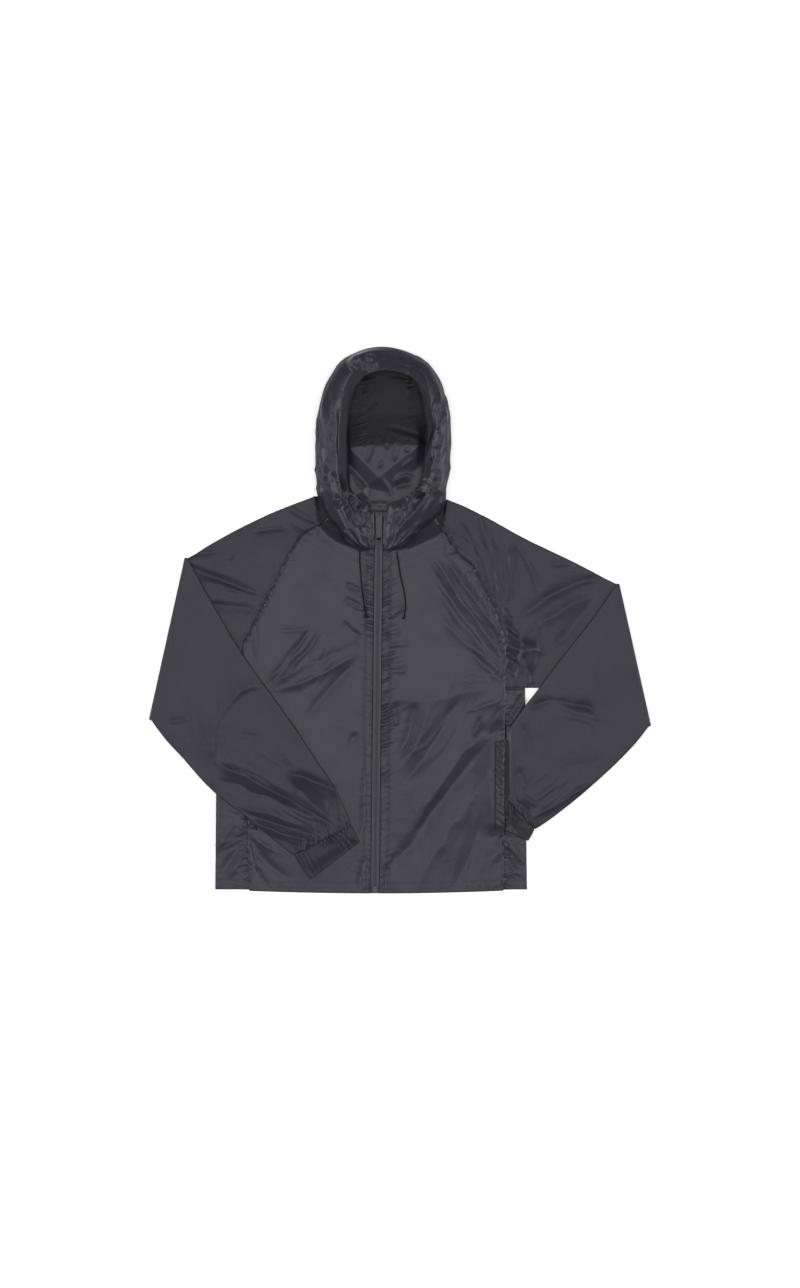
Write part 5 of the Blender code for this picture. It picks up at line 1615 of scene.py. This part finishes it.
def hood_side_grid(side):
    """One side of the hood, from the face opening over the roll to the back neck or the front."""
    points = hood_frame(side)
    marks, down, across = hood_marks(points)
    smooth_rows = flowing(marks, points, down)
    grid = flowing(np.arange(points.shape[1]), smooth_rows.transpose(1, 0, 2), across,
                   corners=(ROLL_END,)).transpose(1, 0, 2)
    grid[..., 2] = np.maximum(grid[..., 2], FLOOR_Z)
    row_place = np.interp(down, marks, np.arange(len(marks)))[:, None]
    column_place = across[None, :]
    from_edge, along = running_across(grid), running(grid[:, 3])[:, None]
    inside = smooth(*FLOOR_COLUMNS, column_place)
    inside = inside * fading(HOOD_LIFT_ROW, HOOD_LIFT_ROW + 1.0, row_place)
    to_end = np.abs(from_edge[:, -1:] - from_edge)
    x, y = grid[..., 0], grid[..., 1]
    rise = inside * floor_lift(x, y, to_end, along, 1.4, 15.0, HOOD_SEED[side] + 6)
    grid = grid + normals(grid, np.s_[:, :ROOF]) * hood_side_lift(side, grid, column_place)[..., None]
    bunch = fading(*BUNCH_COLUMNS, column_place)
    grid[..., 2] = bunched(x, y, grid[..., 2], bunch) + rise
    grid[..., 2] = np.maximum(grid[..., 2], HOOD_LOW_Z)
    return HoodSide(grid, down, across, marks)


def centre_edges(right, left, roll):
    """Edges of the strip: the path of each hood side's crown seam and floor end, drawn in a little."""
    paths = []
    for part, inward in ((right, -0.4), (left, 0.4)):
        last = int(np.searchsorted(part.down, part.marks[HOOD_FLOOR_ROWS]))
        path = np.concatenate([part.grid[0], part.grid[1:last + 1, -1]])
        paths.append(path + np.array([inward, 0.0, 0.0]))
    shares = [running(path) / running(path)[-1] for path in paths]
    turn = shares[0][roll]
    wanted = np.concatenate([shares[0][:roll], spread(1.0, "strip_shares") * (1.0 - turn) + turn])
    knee = shares[1][np.count_nonzero(left.across <= ROLL_END)]
    bent = np.interp(wanted, [0.0, turn, 1.0], [0.0, knee, 1.0])
    return wanted, on_line(paths[0], shares[0], wanted), on_line(paths[1], shares[1], bent)


def centre_middle(right, start, end, wanted):
    """The strip's middle line: up over the crown, then flat to the back neck."""
    roll = right.across[right.across <= ROLL_END]
    edge, top = np.array(HOOD_CENTRE_EDGE, float), np.array(HOOD_CENTRE_TOP, float)
    controls = []
    for share, rise in CROWN:
        height = edge[2] if rise is None else mix(FLOOR_Z, top[2], rise)
        controls.append((*mix(edge[:2], top[:2], share), height))
    over = flowing(np.arange(len(ROLL)), controls, roll)
    below = wanted[len(roll):]
    fall = (below - below[0]) / (1.0 - below[0])
    y = mix(over[-1, 1], (start[-1, 1] + end[-1, 1]) / 2, fall)
    return np.concatenate([over, np.column_stack([np.full(len(y), top[0]), y, np.full(len(y), FLOOR_Z)])])


def hood_centre_grid(right, left):
    """The strip between the hood's sides, from the forehead hem over the crown to the back neck."""
    roll = np.count_nonzero(right.across <= ROLL_END)
    wanted, start, end = centre_edges(right, left, roll)
    middle = centre_middle(right, start, end, wanted)
    columns = np.linspace(0.0, 1.0, 38)[None, :, None]
    bow = (middle - (start + end) / 2)[:, None]
    grid = mix(start[:, None], end[:, None], columns) + bow * 4.0 * columns * (1.0 - columns)
    x, y = grid[..., 0], grid[..., 1]
    down, width = running(grid), running_across(grid)
    beside = np.minimum(width, width[:, -1:] - width)
    row_number = np.arange(len(grid))[:, None]
    on_roll = fading(roll * 0.55, roll * 0.8, row_number)
    inside = smooth(roll, roll + 8, row_number)
    lift = on_roll * (0.8 * crumple(x, y, 790) + crease_height(HOOD_CREASES, x, y))
    lift += on_roll * drawn_up("strip_seam", beside, down) + channel(down, 0.1, 0.5)
    lift += on_roll * drawn_up("strip_channel", np.abs(down - HEM_DEPTH), width)
    lift = lift * smooth(0.0, 7.0, beside) - dent(beside, 0.7, 2.2)
    grid = grid + normals(grid, np.s_[:ROOF]) * (lift * (1.0 - inside))[..., None]
    grid[..., 2] = bunched(x, y, grid[..., 2], (row_number < roll * 0.5) * 1.0)
    floor = FLOOR_Z + floor_lift(x, y, down[-1:] - down, width, 1.6, 16.0, 793)
    near_seam = mix(start[:, 2:], end[:, 2:], columns[0, :, 0][None])
    floor = np.maximum(mix(near_seam, floor, smooth(0.0, 7.0, beside)), 0.4)
    grid[..., 2] = mix(grid[..., 2], floor, inside)
    return grid, roll


def faces_from(points, row=0, column=0):
    """Mask of a grid's faces from a row or a column on."""
    mask = np.zeros((points.shape[0] - 1, points.shape[1] - 1), bool)
    mask[row:, column:] = True
    return mask


def channel_shade_faces(points, added, side):
    """Mask of the faces of the channel round the face opening, which get painted shade."""
    from_edge = running_across(points[:, added:])
    from_edge = np.concatenate([np.zeros((len(points), added)), from_edge], axis=1)
    chosen = (from_edge < HEM_DEPTH) & (points[..., 1] > CHANNEL_SHADE_Y[side])
    return chosen[1:, 1:]


def build_hood():
    """The hood's two sides and the strip between them, with the stitches of the channel."""
    sides = {side: hood_side_grid(side) for side in OUTWARD}
    rim = int(np.searchsorted(sides["right"].across, RIM_COLUMN))
    lines = []
    for side in OUTWARD:
        grid, across = sides[side].grid, sides[side].across
        lines.append(inset_line(grid, "left", HEM_DEPTH))
        finished = turned(grid, "left", *HOOD_HEM)
        added = finished.shape[1] - grid.shape[1]
        low, inner = (added + int(np.searchsorted(across, column)) for column in (RIM_COLUMN, ROLL_END))
        # Painted shade: darker cloth on the channel round the face opening, on the roll's outer wall and on
        # the floor of the hood's hollow.
        cloth("hood_" + side, finished, SHELL, flip=side == "left",
              areas=((CHANNEL_AND_NECK_SHADE, channel_shade_faces(finished, added, side)),
                     (SHADED, faces_from(finished, column=low)),
                     (INSIDE_AND_PAINTED_SHADE, faces_from(finished, column=inner))))
    centre, roll_rows = hood_centre_grid(sides["right"], sides["left"])
    lines.append(inset_line(centre, "top", HEM_DEPTH))
    finished = turned(centre, "top", *HOOD_HEM)
    added = len(finished) - len(centre)
    # Painted shade: darker cloth on the strip's outer wall and on the floor of the hood's hollow.
    cloth("hood_centre", finished, SHELL, flip=True,
          areas=((SHADED, faces_from(finished, row=added + rim)),
                 (INSIDE_AND_PAINTED_SHADE, faces_from(finished, row=added + roll_rows))))
    stitching("stitching_hood", lines)


# ---------------------------------------------------------------- chin guard

GUARD_X = (-51.8, -23.4)
GUARD_Y = (192.5, 211.0)
GUARD_RISE = 2.1
GUARD_STITCH = 3.0           # from its edges


def build_chin_guard():
    """A folded patch over the top of the zip, stitched round."""
    across, down = np.linspace(0.0, 1.0, 24), np.linspace(0.0, 1.0, 17)
    x, y = np.broadcast_arrays(mix(*GUARD_X, across)[None, :], mix(*GUARD_Y[::-1], down)[:, None])
    rim = np.minimum(np.minimum(across, 1.0 - across)[None, :] * (GUARD_X[1] - GUARD_X[0]),
                     np.minimum(down, 1.0 - down)[:, None] * (GUARD_Y[1] - GUARD_Y[0]))
    height = zip_height(np.minimum(y, ZIP_TOP_Y)) + GUARD_RISE + 0.7 * smooth(0.0, 3.0, rim)
    height = height + 0.35 * noise(x / 9.0, y / 6.0, 801) - dent(rim - GUARD_STITCH, 0.35, 0.8)
    grid = np.stack([x, y, height], axis=2)
    lines = [inset_line(grid, edge, GUARD_STITCH) for edge in ("left", "right", "top", "bottom")]
    for edge, back in (("left", 0.0), ("right", 0.0), ("top", 4.0), ("bottom", 4.0)):
        grid = turned(grid, edge, 0.7, back)
    cloth("chin_guard", grid, SHELL, flip=True)
    stitching("stitching_guard", lines, length=1.8, pitch=2.4)


# ---------------------------------------------------------------- zip

TAPE_INNER = 2.4
TAPE_OUTER = 7.0
TOOTH_PITCH = 2.0
COIL_LOW_Y = HEM_MIDDLE_Y + 12.3
# A tooth: distance from the zip's middle, rise and size of each section, and the section's corners.
TOOTH = ((-0.5, 0.55, 0.5), (0.1, 1.0, 1.0), (1.2, 1.0, 0.85), (1.95, 0.4, 0.7))
TOOTH_SECTION = ((-0.42, 0.0), (0.0, 0.32), (0.42, 0.0), (0.0, -0.3))
CORE = ((-2.3, 0.0), (-2.0, 0.35), (-0.9, 0.3), (0.0, 0.1), (0.9, 0.3), (2.0, 0.35), (2.3, 0.0))
SLIDER_Y = 183.0
SLIDER_SHIELD = ((-2.4, -4.6), (2.4, -4.6), (3.4, -2.0), (4.4, 1.6), (4.2, 4.2), (2.2, 4.7), (0.0, 3.2),
                 (-2.2, 4.7), (-4.2, 4.2), (-4.4, 1.6), (-3.4, -2.0))
HINGE_HEIGHT = 5.0
TAB_TILT = math.radians(3.8)
# Plates on the tab and the slider: outline, lower and upper face, chamfer.
TAB_BORDER = ((-4.2, 4.2, -41.0, -6.4, 1.6), 0.55, 0.85, 0.5)
# The plate across the tab's lower end is painted shadow.
TAB_END_SHADOW_PLATE = ((-4.1, 4.1, -40.9, -36.4, 1.4), 0.8, 1.05, 0.4)
SLIDER_FACE = (SLIDER_SHIELD, 3.6 - HINGE_HEIGHT, 4.0 - HINGE_HEIGHT, 0.4)


def strip(rows, profile):
    """A long strip along the zip: profile is offsets from its middle and heights above the tape."""
    offsets, heights = np.array(profile, float).T
    x = zip_x(rows)[:, None] + offsets[None, :]
    z = zip_height(rows)[:, None] + heights[None, :]
    return np.stack([x, np.broadcast_to(rows[:, None], x.shape), z], axis=2)


def build_tapes():
    """Ribbed tapes on both sides of the coil."""
    low = float(hem_y(np.array(ZIP_MIDDLE_X)))
    rows = np.linspace(ZIP_TOP_Y, low, 280)
    for side, turn in OUTWARD.items():
        offsets = np.linspace(TAPE_INNER, TAPE_OUTER, 16)
        ribs = 0.16 * np.abs(np.sin(math.pi * (offsets - TAPE_INNER) / 1.15)) + 0.1
        ribs[0] -= 0.25
        ribs[-1] -= 0.3
        grid = strip(rows, list(zip(turn * offsets, ribs)))
        grid[..., 2] += 0.06 * noise(rows / 14.0, 0.5, 811)[:, None]
        cloth("zip_tape_" + side, grid, TAPE_CLOTH, flip=side == "left")


def build_coil():
    """Interlocked coil teeth on a low core, alternating from side to side."""
    points, faces = [], []
    count = int((ZIP_TOP_Y - COIL_LOW_Y - 2.0) / TOOTH_PITCH)
    for number in range(2 * count):
        turn = 1.0 if number % 2 else -1.0
        y = COIL_LOW_Y + 1.0 + number * TOOTH_PITCH / 2
        x, z = float(zip_x(y)), float(zip_height(y))
        first = len(points)
        for away, rise, size in TOOTH:
            for along, up in TOOTH_SECTION:
                points.append((x + turn * away, y + along * size, z + 0.15 + 0.7 * rise + up * size))
        for station in range(len(TOOTH) - 1):
            for corner in range(4):
                a, b = first + 4 * station + corner, first + 4 * station + (corner + 1) % 4
                faces.append((a, b, b + 4, a + 4) if turn < 0 else (a + 4, b + 4, b, a))
        end = first + 4 * (len(TOOTH) - 1)
        caps = [(first, first + 3, first + 2, first + 1), (end, end + 1, end + 2, end + 3)]
        faces += caps if turn < 0 else [cap[::-1] for cap in caps]
    teeth = mesh_object("zip_teeth", points, faces, [COIL_PLASTIC], soft=False)
    rows = np.linspace(ZIP_TOP_Y, COIL_LOW_Y, 140)
    core = strip(rows, CORE)
    base = mesh_object("zip_core", core.reshape(-1, 3), grid_faces(*core.shape[:2]), [TAPE_CLOTH])
    for item in (teeth, base):
        bind(item, JACKET, "zip_coil")


def on_slider(points, tilt=0.0):
    """Points given from the tab's hinge, set on the zip's slope."""
    slope = math.atan(ZIP_RAMP)
    hinge = np.array([zip_x(SLIDER_Y), SLIDER_Y, zip_height(SLIDER_Y)])
    hinge = hinge + HINGE_HEIGHT * np.array([0.0, -math.sin(slope), math.cos(slope)])
    turn = slope + tilt
    points = np.asarray(points, float)
    y = points[:, 1] * math.cos(turn) - points[:, 2] * math.sin(turn)
    z = points[:, 1] * math.sin(turn) + points[:, 2] * math.cos(turn)
    return np.stack([points[:, 0], y, z], axis=1) + hinge


def plate(name, outline, low, high, inset, finish, tilt, body):
    """A thin plate with a chamfered upper edge, in the tab's own plane."""
    outline = np.asarray(outline, float)
    inner = outline + unit(outline.mean(axis=0) - outline) * inset
    count = len(outline)
    points = np.concatenate([np.column_stack([ring, np.full(count, height)]) for ring, height in
                             ((outline, low), (outline, mix(low, high, 0.6)), (inner, high))])
    faces = [list(range(count))[::-1]]
    for start in (0, count):
        for index in range(count):
            a, b = start + index, start + (index + 1) % count
            faces.append([a, b, b + count, a + count])
    faces.append(list(range(2 * count, 3 * count)))
    bind(mesh_object(name, on_slider(points, tilt), faces, [finish], soft=False), body)


def rounded(low_x, high_x, low_y, high_y, radius, steps=5):
    """Outline of a rectangle with round corners, anticlockwise."""
    outline = []
    for x, y, start in ((high_x - radius, high_y - radius, 0.0), (low_x + radius, high_y - radius, 0.5),
                        (low_x + radius, low_y + radius, 1.0), (high_x - radius, low_y + radius, 1.5)):
        for step in range(steps + 1):
            angle = math.pi * (start + 0.5 * step / steps)
            outline.append((x + radius * math.cos(angle), y + radius * math.sin(angle)))
    return outline


def build_pull():
    """Finishes of the slider, tab and stop, and the parts set on them."""
    for name, finish in (("slider", METAL), ("pull_tab", TAB_METAL), ("zip_stop", METAL)):
        materials = bpy.data.objects[name].data.materials
        materials.clear()
        materials.append(finish)
    for name, (corners, *sizes), finish in (("tab_border", TAB_BORDER, TAB_METAL),
                                            ("tab_end_shadow", TAB_END_SHADOW_PLATE, TAB_END_SHADOW)):
        plate(name, rounded(*corners), *sizes, finish, TAB_TILT, TAB)
    plate("slider_face", *SLIDER_FACE, METAL, 0.0, JACKET)


# ---------------------------------------------------------------- drawcords

CORD_RADIUS = 1.35
KNOT_RADIUS = 3.0
CORDS = {
    "right": ((-71, 125), (-71.5, 107), (-69.5, 80), (-67, 53), (-65, 36), (-60, 9)),
    "left": ((-6, 121.5), (-2.5, 101), (1, 78), (6, 57), (9.5, 36), (10, 22), (7.5, 7))}
CORD_POINTS = 26
CORD_REACH = 3.0             # of the cloth that holds a point of a cord up
KNOT_LOOP = 1.7
KNOT_STEPS = 24


def cord_route(side, front):
    """The cord's curve, laid on the highest cloth near each of its points."""
    flat = drawn(np.array(CORDS[side], float), np.linspace(0.0, 1.0, CORD_POINTS))
    cloth_points = front.reshape(-1, 3)
    height = np.array([cloth_points[np.hypot(*(cloth_points[:, :2] - place).T) < CORD_REACH, 2].max()
                       for place in flat])
    for _round in range(3):
        around = np.concatenate([height[:1], height, height[-1:]])
        height = np.maximum((around[:-2] + around[1:-1] + around[2:]) / 3, height - 0.3)
    return np.column_stack([flat, height + CORD_RADIUS + 0.1])


def braid(solid, points, radius):
    """A round braided cord along points, which stands for a solid."""
    curve = bpy.data.curves.new(solid + "_braid", "CURVE")
    curve.dimensions = "3D"
    curve.bevel_depth = radius * MM
    curve.bevel_resolution = 4
    curve.use_fill_caps = True
    spline = curve.splines.new("POLY")
    spline.points.add(len(points) - 1)
    for spot, place in zip(spline.points, points):
        spot.co = (*(np.asarray(place) * MM), 1.0)
    curve.materials.append(CORD_BRAID)
    item = in_scene(solid + "_braid", curve)
    bind(item, JACKET, solid)
    return item


def knot_path(centre, run, tail):
    """An overhand knot: a small three-lobed loop with a short tail."""
    side = np.array([-run[1], run[0], 0.0])
    up = np.array([0.0, 0.0, 1.0])
    points = []
    for step in range(KNOT_STEPS + 1):
        angle = 2.0 * math.pi * step / KNOT_STEPS * 0.96
        along = KNOT_LOOP * (math.sin(angle) + 0.55 * math.sin(2.0 * angle))
        across = KNOT_LOOP * (math.cos(angle) - 0.55 * math.cos(2.0 * angle))
        rise = 0.75 * math.sin(3.0 * angle)
        points.append(centre + run * along + side * across + up * rise)
    end = points[-1]
    for step in range(1, 5):
        points.append(end + (run * 0.5 + side * tail) * 1.3 * step - up * 0.2 * step)
    return points


def build_cords(fronts):
    """The drawcords' free ends and their knots; each pair is given back with its route."""
    made = []
    for side, tail in (("right", 0.8), ("left", -0.8)):
        route = cord_route(side, fronts[side])
        cord = braid("drawcord_" + side, route, CORD_RADIUS)
        run = unit((route[-1] - route[-2]) * PLAN)
        centre = route[-1] + run * (KNOT_RADIUS + 0.2) + np.array([0.0, 0.0, 0.9])
        knot = braid("cord_knot_" + side, knot_path(centre, run, tail), 1.0)
        made.append((cord, knot, route))
    return made


# ---------------------------------------------------------------- floor, camera and light

FLOOR_COLOUR = (0.93, 0.93, 0.93)
FLOOR_SIZE = 30.0            # metres, as all lengths of the stage
FLOOR_GLOW = 0.3
CAMERA_PLACE = (0.0, -0.0427, 6.37)
CAMERA_LENS = 100.0
LAMP_COLOUR = (1.0, 0.992, 1.045)
LAMPS = table(
    "name x z width length power",
    ("overhead", 0.0, 7.5, 4.4, 2.4, 133.0),
    ("side_left", -4.6, 3.4, 4.4, 2.1, 150.0),
    ("side_right", 4.6, 3.4, 4.4, 2.1, 150.0))
WORLD_STRENGTH = 0.36


def build_floor():
    """A white floor that glows a little, so that it stays white under the jacket's soft shadow."""
    bpy.ops.mesh.primitive_plane_add(size=FLOOR_SIZE, location=(0.0, 0.0, 0.0))
    floor = bpy.context.object
    floor.name = "floor"
    made = material("floor_paint", FLOOR_COLOUR, 0.9, specular=0.1)
    mottled(made, FLOOR_COLOUR, 2.0, 0.006, node(made, "ShaderNodeTexCoord"))
    shader_of(made).inputs["Emission Color"].default_value = (1.0, 1.0, 1.0, 1.0)
    shader_of(made).inputs["Emission Strength"].default_value = FLOOR_GLOW
    floor.data.materials.append(made)


def build_camera():
    """A long lens straight above the jacket."""
    camera = bpy.data.cameras.new("camera")
    camera.lens = CAMERA_LENS
    camera.sensor_width = 36.0
    camera.clip_end = 50.0
    item = in_scene("camera", camera)
    item.location = CAMERA_PLACE
    bpy.context.scene.camera = item


def build_light():
    """One soft lamp above, one at each side, and an even surround."""
    for row in LAMPS:
        light = bpy.data.lights.new(row.name, "AREA")
        light.shape = "RECTANGLE"
        light.size, light.size_y = row.width, row.length
        light.energy = row.power
        light.color = LAMP_COLOUR
        item = in_scene(row.name, light)
        item.location = (row.x, 0.0, row.z)
        aim = -Vector(item.location)
        item.rotation_euler = aim.to_track_quat("-Z", "X" if row.x else "Y").to_euler()
    world = bpy.data.worlds.new("studio")
    world.use_nodes = True
    background = world.node_tree.nodes["Background"]
    background.inputs["Color"].default_value = (*LAMP_COLOUR, 1.0)
    background.inputs["Strength"].default_value = WORLD_STRENGTH
    bpy.context.scene.world = world
    bpy.context.scene.view_settings.view_transform = "Standard"


# ---------------------------------------------------------------- sizes of the cloth pieces

SHEETS = table(
    "piece width length area held",
    ("back_panel_cloth", 0.53, 0.78, 0.325, "laid"),
    ("front_right_cloth", 0.26, 0.70, 0.143, "laid"),
    ("front_left_cloth", 0.26, 0.70, 0.143, "laid"),
    ("side_panel_right_cloth", 0.118, 0.375, 0.040, "folded"),
    ("side_panel_left_cloth", 0.085, 0.375, 0.0285, "folded"),
    ("pocket_welt_right_cloth", 0.023, 0.175, None, "gathered"),
    ("pocket_welt_left_cloth", 0.029, 0.175, None, "gathered"),
    ("sleeve_right_cloth", 0.66, 0.70, 0.270, "folded"),
    ("sleeve_left_cloth", 0.66, 0.70, 0.270, "folded"),
    ("cuff_right_cloth", 0.28, 0.055, None, "gathered"),
    ("cuff_left_cloth", 0.195, 0.042, None, "gathered"),
    ("hood_right_cloth", 0.17, 0.60, 0.057, "laid"),
    ("hood_left_cloth", 0.16, 0.55, 0.051, "laid"),
    ("hood_centre_cloth", 0.083, 0.33, 0.0245, "laid"),
    ("chin_guard_cloth", 0.031, 0.027, None, "laid"),
    ("zip_tape_right_cloth", 0.0105, 0.69, 0.0036, "stretched"),
    ("zip_tape_left_cloth", 0.0105, 0.69, 0.0036, "stretched"))


def main():
    """The camera, the jacket with its cloth and cords, what it lies on, and its light."""
    build_camera()
    fronts = build_body()
    cords = build_cords(fronts)
    build_sleeves()
    build_hood()
    build_chin_guard()
    build_tapes()
    build_coil()
    build_pull()
    build_floor()
    build_light()


main()
